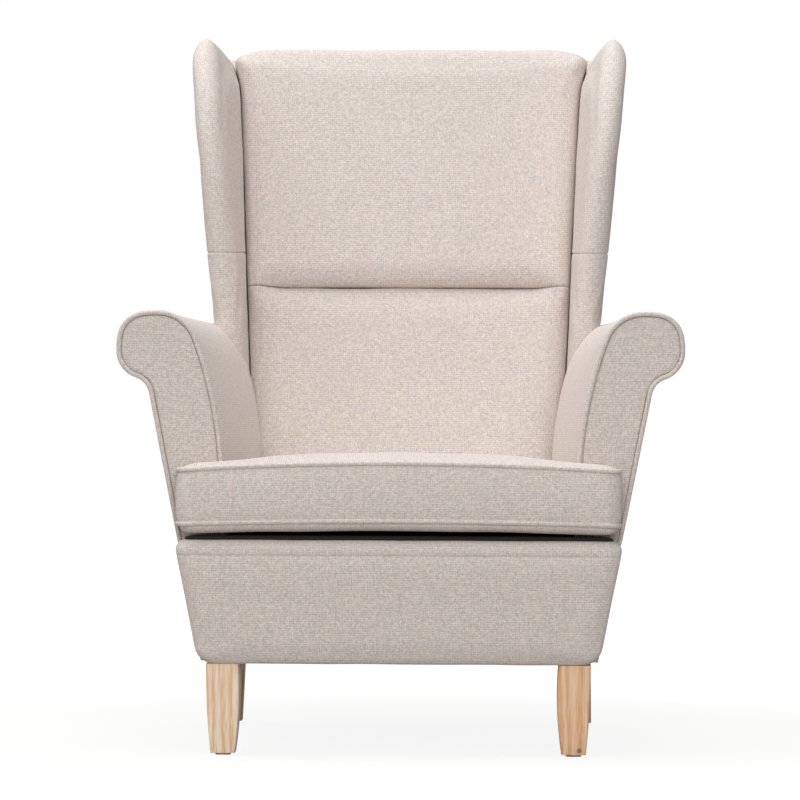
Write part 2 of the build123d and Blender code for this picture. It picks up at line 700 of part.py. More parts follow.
def apron_solid(inset, rear):
    """The padded apron's block with its front edges rolled over."""
    low, high = BASE_BOTTOM_Z + inset, APRON_TOP_Z - inset
    points = [
        (-front_half(low) + inset, low), (front_half(low) - inset, low),
        (front_half(high) - inset, high), (-front_half(high) + inset, high),
    ]
    plane = Plane(origin=(0, rear, 0), x_dir=(1, 0, 0), z_dir=(0, -1, 0))
    foot_r, top_r = APRON_FOOT_R - inset, APRON_TOP_R - inset
    wire = rounded_wire(points, [foot_r, foot_r, top_r, top_r], plane)
    block = extrude(Face(wire), rear - APRON_FRONT_Y - inset, dir=(0, -1, 0))
    return fillet(block.faces().sort_by(Axis.Y)[0].edges(), APRON_EDGE_R - inset)


def front_rail():
    """The front board, between the apron and the arm posts, bored for the leg inserts."""
    low, high = RAIL_BOTTOM_Z, RAIL_TOP_Z
    foot, head = front_half(low) - FRONT_RAIL_SET, front_half(high) - FRONT_RAIL_SET
    points = [(-foot, low), (foot, low), (head, high), (-head, high)]
    plane = Plane(origin=(0, RAIL_FRONT_Y, 0), x_dir=(1, 0, 0), z_dir=(0, -1, 0))
    wire = rounded_wire(points, [FRONT_RAIL_SET] * 4, plane)
    return extrude(Face(wire), BOARD, dir=(0, 1, 0))


def apron():
    rear = ARM_FRONT_Y - FIT
    rail = front_rail()
    cover = apron_solid(0, rear) - apron_solid(COVER, rear + 1)
    sizes = (SPRING_COUNT * SPRING_SPACING, 2 * BOARD, APRON_TOP_Z - RAIL_TOP_Z)
    room = Pos(0, RAIL_FRONT_Y - FIT, RAIL_TOP_Z) * Box(*sizes, align=(Align.CENTER, Align.MIN, Align.MIN))
    pad = apron_solid(COVER + FIT, rear) - rail - room
    return rail, {"apron_cover": cover, "apron_pad": pad}


def springs():
    """Sinuous wires from the front rail to the spring rail, each clipped to the rails at both ends."""
    z = SPRING_Z
    first_y, last_y = ARM_FRONT_Y - FIT - BOARD / 2, SPRING_RAIL_Y + BOARD / 2
    turns = int((last_y - first_y) // (2 * SPRING_TURN_R))
    turn_r = (last_y - first_y) / turns / 2
    wires, clips = [], []
    for i in range(SPRING_COUNT):
        x = (i - (SPRING_COUNT - 1) / 2) * SPRING_SPACING
        reach = SPRING_HALF_WIDTH - turn_r
        chain, side = [Vector(x - SPRING_END, first_y, z)], 1
        for k in range(turns):
            y = first_y + 2 * turn_r * k
            chain.append(("line", Vector(x + side * reach, y, z)))
            bulge = Vector(x + side * SPRING_HALF_WIDTH, y + turn_r, z)
            chain.append(("arc", bulge, Vector(x + side * reach, y + 2 * turn_r, z)))
            side = -side
        chain.append(("line", Vector(x + side * SPRING_END, last_y, z)))
        wires.append(tube(chain_edges(chain), SPRING_WIRE_R))
        for y in (first_y, last_y):
            clips.append(spring_clip(x, y))
    print("least gap between turns", round(2 * turn_r - 2 * SPRING_WIRE_R, 2))
    return Compound(children=wires), Compound(children=clips)


def spring_clip(x, y):
    """A steel saddle on the rail that holds a wire's end."""
    base_z = RAIL_TOP_Z + CLIP_SEAT
    plate = Pos(x, y, base_z) * Box(*CLIP_PLATE, align=(Align.CENTER, Align.CENTER, Align.MIN))
    bridge = Pos(x, y, base_z) * Box(*CLIP_BRIDGE, align=(Align.CENTER, Align.CENTER, Align.MIN))
    groove = Pos(x, y, SPRING_Z) * Rot(0, 90, 0) * Cylinder(SPRING_WIRE_R + CLIP_CLEARANCE, CLIP_PLATE[0])
    return plate + bridge - groove


def spring_rail():
    """The cross rail under the inside back that takes the springs' rear ends."""
    quads = []
    for z in (RAIL_BOTTOM_Z + SPRING_RAIL_LIFT, RAIL_TOP_Z):
        y0, y1 = SPRING_RAIL_Y, SPRING_RAIL_Y + BOARD
        a, b = side_half(z, y0) - PANEL - BOARD - 2 * FIT, side_half(z, y1) - PANEL - BOARD - 2 * FIT
        quads.append([(-a, y0, z), (a, y0, z), (b, y1, z), (-b, y1, z)])
    return ruled_loft(quads)


def corner_blocks():
    """Glued wooden blocks behind the front rail, one in each front corner."""
    y0, y1 = ARM_FRONT_Y, ARM_FRONT_Y + CORNER_BLOCK
    low = RAIL_BOTTOM_Z + CORNER_BLOCK_LIFT
    triangles = []
    for z in (low, low + CORNER_BLOCK_HEIGHT):
        a, b = side_half(z, y0) - PANEL - BOARD - 2 * FIT, side_half(z, y1) - PANEL - BOARD - 2 * FIT
        triangles.append([(a, y0, z), (b, y1, z), (a - CORNER_BLOCK, y0, z)])
    block = ruled_loft(triangles)
    return Compound(children=[block, mirror(block, about=Plane.YZ)])


def deck_slab(z, drawn):
    """The deck's outline at one height, drawn in towards its dome."""
    y0, y1 = ARM_FRONT_Y + FACING_DEPTH, SPRING_RAIL_Y - DECK_REAR_GAP
    front, back = (arm_inner(ARM_BOTTOM_Z, y) - DECK_SIDE_GAP - drawn for y in (ARM_FRONT_Y, y1))
    points = [(-front, y0 + drawn), (front, y0 + drawn), (back, y1 - drawn), (-back, y1 - drawn)]
    return rounded_wire(points, [DECK_CORNER_R] * 4, Plane.XY.offset(z))


def deck():
    """A thin foam deck over the springs and its black cloth, domed under the cushion."""
    low = SPRING_Z + SPRING_WIRE_R + FIT
    top = DECK_TOP_Z
    edge, hem = top - DECK_DOME, DECK_DOME_IN + DECK_HEM
    under = edge - DECK_CLOTH + FIT
    pad = [deck_slab(low, 0), deck_slab(under - FIT, 0), deck_slab(top - DECK_CLOTH - FIT, DECK_DOME_IN)]
    outer = [deck_slab(under, 0), deck_slab(edge + FIT, 0), deck_slab(top, DECK_DOME_IN)]
    cut = [deck_slab(low, DECK_HEM), deck_slab(under, DECK_HEM), deck_slab(top - DECK_CLOTH, hem)]
    pad, outer, cut = (Solid.make_loft(wires, ruled=True) for wires in (pad, outer, cut))
    return pad, outer - cut


def dust_cover():
    """Thin black cloth under the rails."""
    z0, z1 = RAIL_BOTTOM_Z - FIT - DUST_COVER, RAIL_BOTTOM_Z - FIT
    quads = []
    for z in (z0, z1):
        front, rear = ARM_FRONT_Y + DUST_COVER_FRONT_SET, inside_y(z) + POST_FRONT / RAKE_COS
        a, b = (side_half(z, y) - DUST_COVER_SIDE_SET for y in (front, rear))
        quads.append([(-a, front, z), (a, front, z), (b, rear, z), (-b, rear, z)])
    return ruled_loft(quads)


# Legs and their fastenings

def square_wire(x, y, z, width, depth):
    points = [(x - width / 2, y - depth / 2), (x + width / 2, y - depth / 2)]
    points += [(x + width / 2, y + depth / 2), (x - width / 2, y + depth / 2)]
    return rounded_wire(points, [LEG_EDGE_R] * 4, Plane.XY.offset(z))


def leg_set():
    """Four tapered legs with their hanger bolts, threaded inserts and glides."""
    fx, fy = FRONT_LEG
    rx, ry = REAR_LEG
    fy -= FRONT_LEG_AHEAD
    toe = FRONT_LEG_TOE_IN
    front_foot = (fx - toe, fy - toe)
    rear_foot = (rx + REAR_LEG_SPLAY, ry + REAR_LEG_RAKE)
    front = Solid.make_loft([
        square_wire(fx, fy, LEG_TOP_Z, LEG_TOP, LEG_TOP),
        square_wire(fx - toe, fy, LEG_KNEE_Z, LEG_TOP + LEG_KNEE_SWELL, LEG_TOP - LEG_KNEE_SWELL),
        square_wire(*front_foot, GLIDE, LEG_FOOT, LEG_FOOT),
    ])
    rear = Solid.make_loft([
        square_wire(rx, ry, LEG_TOP_Z, REAR_LEG_SIDE_TOP, LEG_TOP),
        square_wire(*rear_foot, GLIDE, REAR_LEG_SIDE_FOOT, LEG_FOOT),
    ])
    bores = [bore(*FRONT_LEG), bore(*REAR_LEG)]
    bolts, inserts, glides = [], [], []
    for x, y in (FRONT_LEG, REAR_LEG):
        bolts.append(Pos(x, y, BOLT_LOW_Z) * shaft(BOLT_R, BOLT_LENGTH))
        sleeve = shaft(INSERT_R, INSERT_LENGTH) - shaft(BOLT_R + BOLT_CLEARANCE, INSERT_LENGTH)
        inserts.append(Pos(x, y, RAIL_BOTTOM_Z) * sleeve)
    for x, y in (front_foot, rear_foot):
        glides.append(Pos(x, y, 0) * shaft(GLIDE_R, GLIDE))
    parts = both_sides("front_leg", front - bores[0])
    parts.update(both_sides("rear_leg", rear - bores[1]))
    for name, group in (("leg_bolts", bolts), ("leg_inserts", inserts), ("leg_glides", glides)):
        parts[name] = Compound(children=group + [mirror(s, about=Plane.YZ) for s in group])
    return parts


def shaft(radius, length):
    return Cylinder(radius, length, align=(Align.CENTER, Align.CENTER, Align.MIN))


def bore(x, y):
    """The room that a hanger bolt and its insert take in leg, cloth and rail."""
    bolt = Pos(x, y, BOLT_LOW_Z - FIT) * shaft(BOLT_R + BOLT_CLEARANCE, BOLT_LENGTH + 2 * FIT)
    insert = Pos(x, y, RAIL_BOTTOM_Z - FIT) * shaft(INSERT_R + BOLT_CLEARANCE, INSERT_LENGTH + 2 * FIT)
    return bolt + insert


def both_bores(place):
    return bore(*place) + mirror(bore(*place), about=Plane.YZ)


# Loose seat cushion

def cushion_wire(z, inset, drawn, edge_z):
    """The T-shaped outline: an even inset, and a drawn share of 0 to 1 that pulls it in towards the crown.

    Its back edge follows the raked back at the height edge_z.
    """
    ear_room = CUSHION_EAR_Y - CUSHION_FRONT_Y - 2 * inset - CROWN_EAR_MIN
    front = CUSHION_FRONT_Y + inset + CROWN_FRONT_SHARE * ear_room * drawn
    ear = CUSHION_EAR_Y - inset - (1 - CROWN_FRONT_SHARE) * ear_room * drawn
    side = CUSHION_HALF_WIDTH - inset - CROWN_SIDE_DRAW * drawn
    neck = inset + CROWN_NECK_DRAW * drawn
    back = inside_y(edge_z) + CUSHION_BACK_GAP / RAKE_COS - inset - CROWN_BACK_DRAW * drawn
    neck_front, neck_back = CUSHION_NECK_FRONT - neck, CUSHION_NECK_BACK - neck
    right = [(side, front), (side, ear), (neck_front, ear), (neck_back, back)]
    points = right + [(-x, y) for x, y in reversed(right)]
    sharp = CROWN_CORNER_R
    outward = (CUSHION_FRONT_R, CUSHION_EAR_R, CUSHION_BACK_R)
    radii = [sharp + (r - sharp - inset) * (1 - drawn) for r in outward]
    radii.insert(2, CUSHION_NECK_R + inset)
    return rounded_wire(points, radii + radii[::-1], Plane.XY.offset(z))


def crown_steps(z, rise, inset, edge_z):
    """Stations from the piping's seam up to the crown, or down to the belly."""
    steps = []
    for i in range(1, CROWN_STEPS + 1):
        turn = math.radians(90 * i / CROWN_STEPS)
        steps.append((z + rise * math.sin(turn), inset, 1 - math.cos(turn), edge_z))
    return steps


def cushion_outer():
    """The sewn cover's outside, with a groove round each piping and a flat band for the zip."""
    low, high = CUSHION_LOW_PIPING_Z, CUSHION_HIGH_PIPING_Z
    groove = []
    for angle in GROOVE_ANGLES:
        turn = math.radians(angle)
        groove.append((PIPING_R + GROOVE_R * math.cos(turn), GROOVE_R * math.sin(turn)))
    seam, lift = groove[-1]
    band = (CUSHION_ZIP_Z - ZIP_BAND / 2, CUSHION_ZIP_Z + ZIP_BAND / 2)
    stations = crown_steps(low - lift, lift - CUSHION_BELLY, seam, low)[::-1]
    stations += [(low - dz, inset, 0, low) for inset, dz in reversed(groove)]
    stations += [(z, CUSHION_BOXING, 0, z) for z in band]
    stations += [(high + dz, inset, 0, high) for inset, dz in groove]
    stations += crown_steps(high + lift, CUSHION_CROWN - lift, seam, high)
    return Solid.make_loft([cushion_wire(*s) for s in stations], ruled=True)


def cushion_inner(gap):
    """The room inside the cover, or with a gap the foam that fills it."""
    low, high = CUSHION_LOW_PIPING_Z, CUSHION_HIGH_PIPING_Z
    wall = CUSHION_WALL + COVER + gap
    stations = crown_steps(low, COVER + gap - CUSHION_BELLY, wall, low)[::-1]
    stations += [(low, wall, 0, low), (high, wall, 0, high)]
    stations += crown_steps(high, CUSHION_CROWN - COVER - gap, wall, high)
    return Solid.make_loft([cushion_wire(*s) for s in stations], ruled=True)


def cushion_piping(z):
    """The covered cord round one edge; its two ends meet at the middle of the back."""
    wire = cushion_wire(z, PIPING_R, 0, z)
    edges = list(wire.edges())
    start = max(range(len(edges)), key=lambda i: (edges[i] @ 0.5).Y)
    order = edges[start + 1:] + edges[:start]
    middle = edges[start] @ 0.5
    step = Vector(FIT, 0, 0) * (1 if (edges[start] @ 1).X > middle.X else -1)
    first = Edge.make_line(middle + step, edges[start] @ 1)
    last = Edge.make_line(edges[start] @ 0, middle - step)
    return tube([first] + order + [last], PIPING_R)


def zip_boxes():
    """The zip on the cushion's rear face: its tape and chain, and the slider with its pull."""
    v = (CUSHION_ZIP_Z - SEAT_BACK_Z) / RAKE_COS
    face = -CUSHION_BACK_GAP + CUSHION_BOXING * RAKE_COS - FIT
    tape = zip_box(0, v, face, ZIP_LENGTH, ZIP_TAPE, ZIP_TAPE_DEPTH)
    chain = zip_box(0, v, face - ZIP_TAPE_DEPTH, ZIP_LENGTH, ZIP_CHAIN, ZIP_CHAIN_DEPTH)
    chain_face = face - ZIP_TAPE_DEPTH - ZIP_CHAIN_DEPTH
    x = ZIP_LENGTH / 2 - ZIP_END
    slider = zip_box(x, v, chain_face - FIT, *SLIDER)
    pull = zip_box(x, v - SLIDER_PULL_DROP, chain_face - FIT - SLIDER[-1], *SLIDER_PULL)
    return tape + chain, slider + pull


def zip_box(x, v, face, length, height, depth):
    """A thin box on the raked rear face, standing back from it."""
    box = Box(length, height, depth, align=(Align.CENTER, Align.CENTER, Align.MAX))
    return BACK_PLANE * Pos(x, v, face) * box


def cushion():
    zip_tape, slider = zip_boxes()
    return {
        "cushion_cover": cushion_outer() - cushion_inner(0),
        "cushion_core": cushion_inner(FIT),
        "cushion_top_piping": cushion_piping(CUSHION_HIGH_PIPING_Z),
        "cushion_bottom_piping": cushion_piping(CUSHION_LOW_PIPING_Z),
        "cushion_zip": zip_tape,
        "zip_slider": slider,
    }


def base():
    rail, parts = apron()
    front_bores = both_bores(FRONT_LEG)
    parts["front_rail"] = rail - front_bores
    parts["apron_cover"] = parts["apron_cover"] - front_bores
    parts["apron_pad"] = parts["apron_pad"] - front_bores
    parts["spring_rail"] = spring_rail()
    parts["corner_blocks"] = corner_blocks()
    parts["seat_springs"], parts["spring_clips"] = springs()
    parts["deck_pad"], parts["deck_cloth"] = deck()
    parts["dust_cover"] = dust_cover() - both_bores(REAR_LEG)
    return parts


os.makedirs("parts", exist_ok=True)
nodes = {}
for group in (arms(), wings(), inside_back(), back_frame(), base(), leg_set(), cushion()):
    nodes.update(group)
for name, shape in nodes.items():
    export_step(shape, f"parts/{name}.step")
print(len(nodes), "nodes")
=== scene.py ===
import json
import math

import bmesh
import bpy
import numpy as np
from mathutils import Matrix, Vector


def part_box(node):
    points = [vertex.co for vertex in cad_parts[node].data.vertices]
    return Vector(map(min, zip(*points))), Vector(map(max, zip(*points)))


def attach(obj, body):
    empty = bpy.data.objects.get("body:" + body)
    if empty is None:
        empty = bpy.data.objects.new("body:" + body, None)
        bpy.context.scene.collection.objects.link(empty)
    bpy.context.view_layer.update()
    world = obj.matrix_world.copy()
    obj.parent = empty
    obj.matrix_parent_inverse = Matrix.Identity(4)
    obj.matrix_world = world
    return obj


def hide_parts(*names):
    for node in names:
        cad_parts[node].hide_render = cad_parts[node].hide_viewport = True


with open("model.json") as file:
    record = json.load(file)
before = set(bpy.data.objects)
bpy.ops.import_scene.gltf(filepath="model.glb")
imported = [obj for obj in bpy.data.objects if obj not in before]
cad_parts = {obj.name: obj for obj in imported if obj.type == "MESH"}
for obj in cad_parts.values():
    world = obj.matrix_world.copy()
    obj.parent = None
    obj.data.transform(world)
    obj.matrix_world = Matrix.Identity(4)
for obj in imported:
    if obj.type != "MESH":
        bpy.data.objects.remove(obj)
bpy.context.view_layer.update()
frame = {"nodes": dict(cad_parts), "record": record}

# Sizes are in millimetres until a mesh is made, and the mesh is in metres.
MM = 0.001


def node_box(node):
    """A node's lowest and highest corner in millimetres."""
    return tuple(np.array(corner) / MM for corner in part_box(node))


# Front, sides and arms, read from the CAD pieces where those give them
PIPING_R = 3.5
ARM_LOW, ARM_HIGH = node_box("right_arm_piping")
APRON_LOW, APRON_HIGH = node_box("apron_cover")
ARM_FRONT_Y = ARM_LOW[1]
ARM_TOP_Z = ARM_HIGH[2]
ARM_HALF = ARM_HIGH[0]
ARM_INNER_X = ARM_LOW[0]
ARM_FOOT_Z = 296.0
ARM_STRAIGHT_Z = 400.0
ARM_LEAN = math.radians(3)
ARM_TAPER = 0.057
FACING_DEPTH = 2 * PIPING_R + 0.3
ROLL_R, ROLL_UNDER_R, ROLL_NECK_R = 58.0, 40.0, 28.0
ROLL_SQUARE = 2.8        # 2 is a circle, and more is squarer
ROLL_OVERHANG = 35.2
SIDE_FLARE = 120.0
BASE_Z = APRON_LOW[2]
BASE_HALF = ARM_HALF - SIDE_FLARE
SIDE_LEAN = (SIDE_FLARE - ROLL_OVERHANG) / (ARM_TOP_Z - ROLL_R - BASE_Z)
REAR_HALF, REAR_HALF_AT_ARM = BASE_HALF + 4.0, BASE_HALF + 10.0

# The raked back, from the seat to its top
RAKE = math.radians(14)
BACK_TOP_Z = 1056.0
BACK_DEPTH = 116.0
BACK_CLOTH = 4.3         # the outside back's board and cloth, with its fit
BACK_REAR_Y = node_box("outside_back_panel")[1][1]
SEAT_BACK_Z = 410.0
SEAT_BACK_Y = BACK_REAR_Y - BACK_DEPTH / math.cos(RAKE) - (BACK_TOP_Z - SEAT_BACK_Z) * math.tan(RAKE)
SIDE_REAR_Y = BACK_REAR_Y - 124.0
TUCK_Z = 683.0
WING_LEAN = 0.10
BACK_HALF_AT_ARM, BACK_HALF_LEAN = BASE_HALF - 28.0, 0.0545


# Shared planes of the chair

def front_half(z):
    """Half the width over the sides at the front."""
    return BASE_HALF + (z - BASE_Z) * SIDE_LEAN


def below_arm_half(z):
    """Half the width at the rear, up to the arms' top."""
    return REAR_HALF + (REAR_HALF_AT_ARM - REAR_HALF) * (z - BASE_Z) / (ARM_TOP_Z - BASE_Z)


def outer_half(z):
    """Half the width at the rear, over the wings where there are wings."""
    return REAR_HALF_AT_ARM + (z - ARM_TOP_Z) * WING_LEAN if z > ARM_TOP_Z else below_arm_half(z)


def side_half(z, y):
    """Half the width over the outside arms, anywhere from the front to the rear."""
    share = (y - ARM_FRONT_Y) / (SIDE_REAR_Y - ARM_FRONT_Y)
    return front_half(z) + (below_arm_half(z) - front_half(z)) * share


def inside_half(z):
    """Half the width of the inside back."""
    return BACK_HALF_AT_ARM + (z - ARM_TOP_Z) * BACK_HALF_LEAN


def inside_y(z):
    """The inside back's plane."""
    return SEAT_BACK_Y + (z - SEAT_BACK_Z) * math.tan(RAKE)


def outside_y(z):
    """The outside back's plane."""
    return inside_y(z) + BACK_DEPTH / math.cos(RAKE)


def arm_shift(y):
    """How far inwards the arm runs, from its front to a place behind it."""
    return (y - ARM_FRONT_Y) * ARM_TAPER


def arm_inner(z, y):
    """The arm's straight inner face beside the cushion."""
    return ARM_INNER_X + (z - ARM_FOOT_Z) * math.tan(ARM_LEAN) - arm_shift(y)


# Drawing helpers

def clamped(value):
    """A value held between 0 and 1."""
    return min(1.0, max(0.0, value))


def arc(centre, radius, start, end, steps=24):
    """Points of an arc in a plane, from one angle to another."""
    turns = np.linspace(start, end, steps)
    return np.column_stack((centre[0] + radius * np.cos(turns), centre[1] + radius * np.sin(turns)))


def even(points, count, closed=True):
    """The same line with evenly spaced points."""
    line = np.vstack((points, points[:1])) if closed else np.array(points)
    run = np.concatenate(([0], np.cumsum(np.linalg.norm(np.diff(line, axis=0), axis=1))))
    at = np.linspace(0, run[-1], count + 1)[:-1] if closed else np.linspace(0, run[-1], count)
    return np.column_stack([np.interp(at, run, line[:, k]) for k in range(line.shape[1])])


def rounded(points, radii, steps=7):
    """A closed outline with its corners turned into arcs."""
    points = [np.array(p, float) for p in points]
    made = []
    for i, radius in enumerate(radii):
        here, before, after = points[i], points[i - 1], points[(i + 1) % len(points)]
        to_a = (before - here) / np.linalg.norm(before - here)
        to_b = (after - here) / np.linalg.norm(after - here)
        half = math.acos(np.clip(to_a @ to_b, -1, 1)) / 2
        bisector = (to_a + to_b) / np.linalg.norm(to_a + to_b)
        centre = here + bisector * radius / math.sin(half)
        first = here + to_a * radius / math.tan(half)
        last = here + to_b * radius / math.tan(half)
        start = math.atan2(*(first - centre)[::-1])
        turn = (math.atan2(*(last - centre)[::-1]) - start + math.pi) % (2 * math.pi) - math.pi
        made.append(arc(centre, radius, start, start + turn, steps))
    return np.vstack(made)


def rake_point(x, v, n):
    """A point in the raked back's own directions: across, up along the rake, and forwards."""
    y = SEAT_BACK_Y + v * math.sin(RAKE) - n * math.cos(RAKE)
    return np.array((x, y, SEAT_BACK_Z + v * math.cos(RAKE) + n * math.sin(RAKE)))


def up_rake(z, n=0.0):
    """How far up the rake a height is."""
    return (z - SEAT_BACK_Z - n * math.sin(RAKE)) / math.cos(RAKE)


def rake_n(point):
    """How far in front of the inside back's plane a point is."""
    return -(point[1] - SEAT_BACK_Y) * math.cos(RAKE) + (point[2] - SEAT_BACK_Z) * math.sin(RAKE)


def spread(low, high, count, bunch=1.35):
    """Values between two ends, closer together towards both."""
    turns = np.linspace(-bunch, bunch, count)
    return list(low + (high - low) * (0.5 + 0.5 * np.sin(turns) / math.sin(bunch)))


def corner_cut(gap, radius):
    """How much narrower a panel is near a rounded corner."""
    return radius - math.sqrt(max(0.0, radius ** 2 - (radius - gap) ** 2)) if gap < radius else 0.0


def dip(distance, width):
    """A soft groove's profile: 1 on the line, falling to 0 beyond its width."""
    return np.exp(-(distance / width) ** 2)


def ripple(points, size):
    """The slight unevenness of stuffing under cloth, in millimetres."""
    x, y, z = (points / size).T
    return (np.sin(1.7 * x + 0.9 * z + 0.4) * np.sin(1.1 * z - 0.7 * y + 1.3)
            + 0.6 * np.sin(2.9 * x - 1.9 * z + 2.1) * np.sin(2.3 * y + 1.3 * z))


# Mesh helpers

def piece_from(name, bm, material, smooth=True):
    """A finished bmesh as an object at the origin."""
    bmesh.ops.triangulate(bm, faces=[f for f in bm.faces if len(f.verts) > 4])
    bmesh.ops.recalc_face_normals(bm, faces=bm.faces[:])
    mesh = bpy.data.meshes.new(name)
    bm.to_mesh(mesh)
    bm.free()
    mesh.polygons.foreach_set("use_smooth", [smooth] * len(mesh.polygons))
    piece = bpy.data.objects.new(name, mesh)
    bpy.context.scene.collection.objects.link(piece)
    mesh.materials.append(material)
    return piece


def draw_ring(bm, points):
    """A closed loop of edges through points."""
    verts = [bm.verts.new(Vector(p) * MM) for p in points]
    edges = [bm.edges.new((a, b)) for a, b in zip(verts, verts[1:] + verts[:1])]
    return verts, edges


def loft(rings, bm=None):
    """A closed skin through rings of points: each ring is extruded from the last one and set in place."""
    bm = bm or bmesh.new()
    verts, edges = draw_ring(bm, rings[0])
    first = edges
    for ring in rings[1:]:
        before = set(verts)
        bmesh.ops.extrude_edge_only(bm, edges=edges)
        following = []
        for vert in verts:
            following.append(next(e.other_vert(vert) for e in vert.link_edges
                                  if e.other_vert(vert) not in before and not e.other_vert(vert).tag))
        for vert, point in zip(following, ring):
            vert.co = Vector(point) * MM
        for vert in verts:
            vert.tag = True
        verts = following
        edges = [bm.edges.get((a, b)) for a, b in zip(verts, verts[1:] + verts[:1])]
    for end in (first, edges):
        bmesh.ops.contextual_create(bm, geom=end)
    return bm


def subdivided(piece, levels):
    """A Subdivision Surface that stays on the piece."""
    made = piece.modifiers.new("soft", "SUBSURF")
    made.levels = made.render_levels = levels
    return piece


def apply_modifiers(piece):
    """Bakes the piece's modifiers into its mesh."""
    seen = piece.evaluated_get(bpy.context.evaluated_depsgraph_get())
    mesh = bpy.data.meshes.new_from_object(seen)
    piece.modifiers.clear()
    old, piece.data = piece.data, mesh
    mesh.name = old.name
    bpy.data.meshes.remove(old)


def coordinates(piece):
    """Each vertex's place in metres."""
    points = np.zeros(len(piece.data.vertices) * 3, np.float32)
    piece.data.vertices.foreach_get("co", points)
    return points.reshape(-1, 3).astype(float)


def set_coordinates(piece, points):
    piece.data.vertices.foreach_set("co", np.asarray(points, np.float32).ravel())
    piece.data.update()


SWELL_FRAMES = 20
SWELL_PRESSURE = 4.0


def swell(piece, held, cap):
    """Stuffing pushes a cover out between its seams and staples, by no more than the cap."""
    before = coordinates(piece)
    group = piece.vertex_groups.new(name="held")
    group.add([int(i) for i in np.nonzero(held)[0]], 1.0, "REPLACE")
    cloth = piece.modifiers.new("cover", "CLOTH")
    made = cloth.settings
    made.quality = 5
    made.mass = 0.3
    made.tension_stiffness = made.compression_stiffness = 15
    made.shear_stiffness = 5
    made.bending_stiffness = 0.5
    made.vertex_group_mass = "held"
    made.use_pressure = True
    made.uniform_pressure_force = SWELL_PRESSURE
    made.effector_weights.gravity = 0
    cloth.collision_settings.use_collision = False
    for step in range(SWELL_FRAMES):
        bpy.context.scene.frame_set(step + 1)
    seen = piece.evaluated_get(bpy.context.evaluated_depsgraph_get())
    after = np.zeros(len(before) * 3, np.float32)
    seen.data.vertices.foreach_get("co", after)
    piece.modifiers.remove(cloth)
    piece.vertex_groups.remove(group)
    bpy.context.scene.frame_set(1)
    moved = after.reshape(-1, 3) - before
    length = np.maximum(np.linalg.norm(moved, axis=1, keepdims=True), 1e-9)
    set_coordinates(piece, before + moved / length * cap * MM * np.tanh(length / (cap * MM)))


def press(piece, depth_at):
    """Moves a cover's points in or out along their normals, by a depth in millimetres at each point."""
    points = coordinates(piece)
    outward = np.zeros(len(points) * 3, np.float32)
    piece.data.vertex_normals.foreach_get("vector", outward)
    outward = outward.reshape(-1, 3).astype(float)
    set_coordinates(piece, points + outward * depth_at(points / MM)[:, None] * MM)


def mirrored(piece, name):
    """The same piece on the chair's other side."""
    bm = bmesh.new()
    bm.from_mesh(piece.data)
    bmesh.ops.scale(bm, vec=(-1, 1, 1), verts=bm.verts[:])
    bmesh.ops.reverse_faces(bm, faces=bm.faces[:])
    mesh = bpy.data.meshes.new(name)
    bm.to_mesh(mesh)
    bm.free()
    for material in piece.data.materials:
        mesh.materials.append(material)
    other = bpy.data.objects.new(name, mesh)
    bpy.context.scene.collection.objects.link(other)
    for modifier in piece.modifiers:
        subdivided(other, modifier.levels)
    return other


# Materials

def hex_colour(code):
    """An sRGB hex value as linear red, green, blue and alpha."""
    parts = [int(code[i:i + 2], 16) / 255 for i in (1, 3, 5)]
    return tuple(c / 12.92 if c <= 0.04045 else ((c + 0.055) / 1.055) ** 2.4 for c in parts) + (1.0,)


def add(tree, kind, inputs=(), stops=(), **settings):
    """Adds a shader node, with its settings and colour stops, and sets or links its inputs."""
    made = tree.nodes.new("ShaderNode" + kind)
    for key, value in settings.items():
        setattr(made, key, value)
    for socket, value in dict(inputs).items():
        if isinstance(value, bpy.types.NodeSocket):
            tree.links.new(value, made.inputs[socket])
        else:
            made.inputs[socket].default_value = value
    for extra in stops[2:]:
        made.color_ramp.elements.new(0.5)
    for i, (place, code) in enumerate(stops):
        made.color_ramp.elements[i].position = place
        made.color_ramp.elements[i].color = hex_colour(code)
    return made


def new_material(name):
    """An empty material with a Principled shader: the material, its tree and the shader."""
    material = bpy.data.materials.new(name)
    material.use_nodes = True
    tree = material.node_tree
    return material, tree, tree.nodes["Principled BSDF"]


# Yarns from peach to lilac grey
YARN_SHADES = [(0.15, "#d9ccc2"), (0.5, "#d4cac4"), (0.85, "#cfc8c6")]


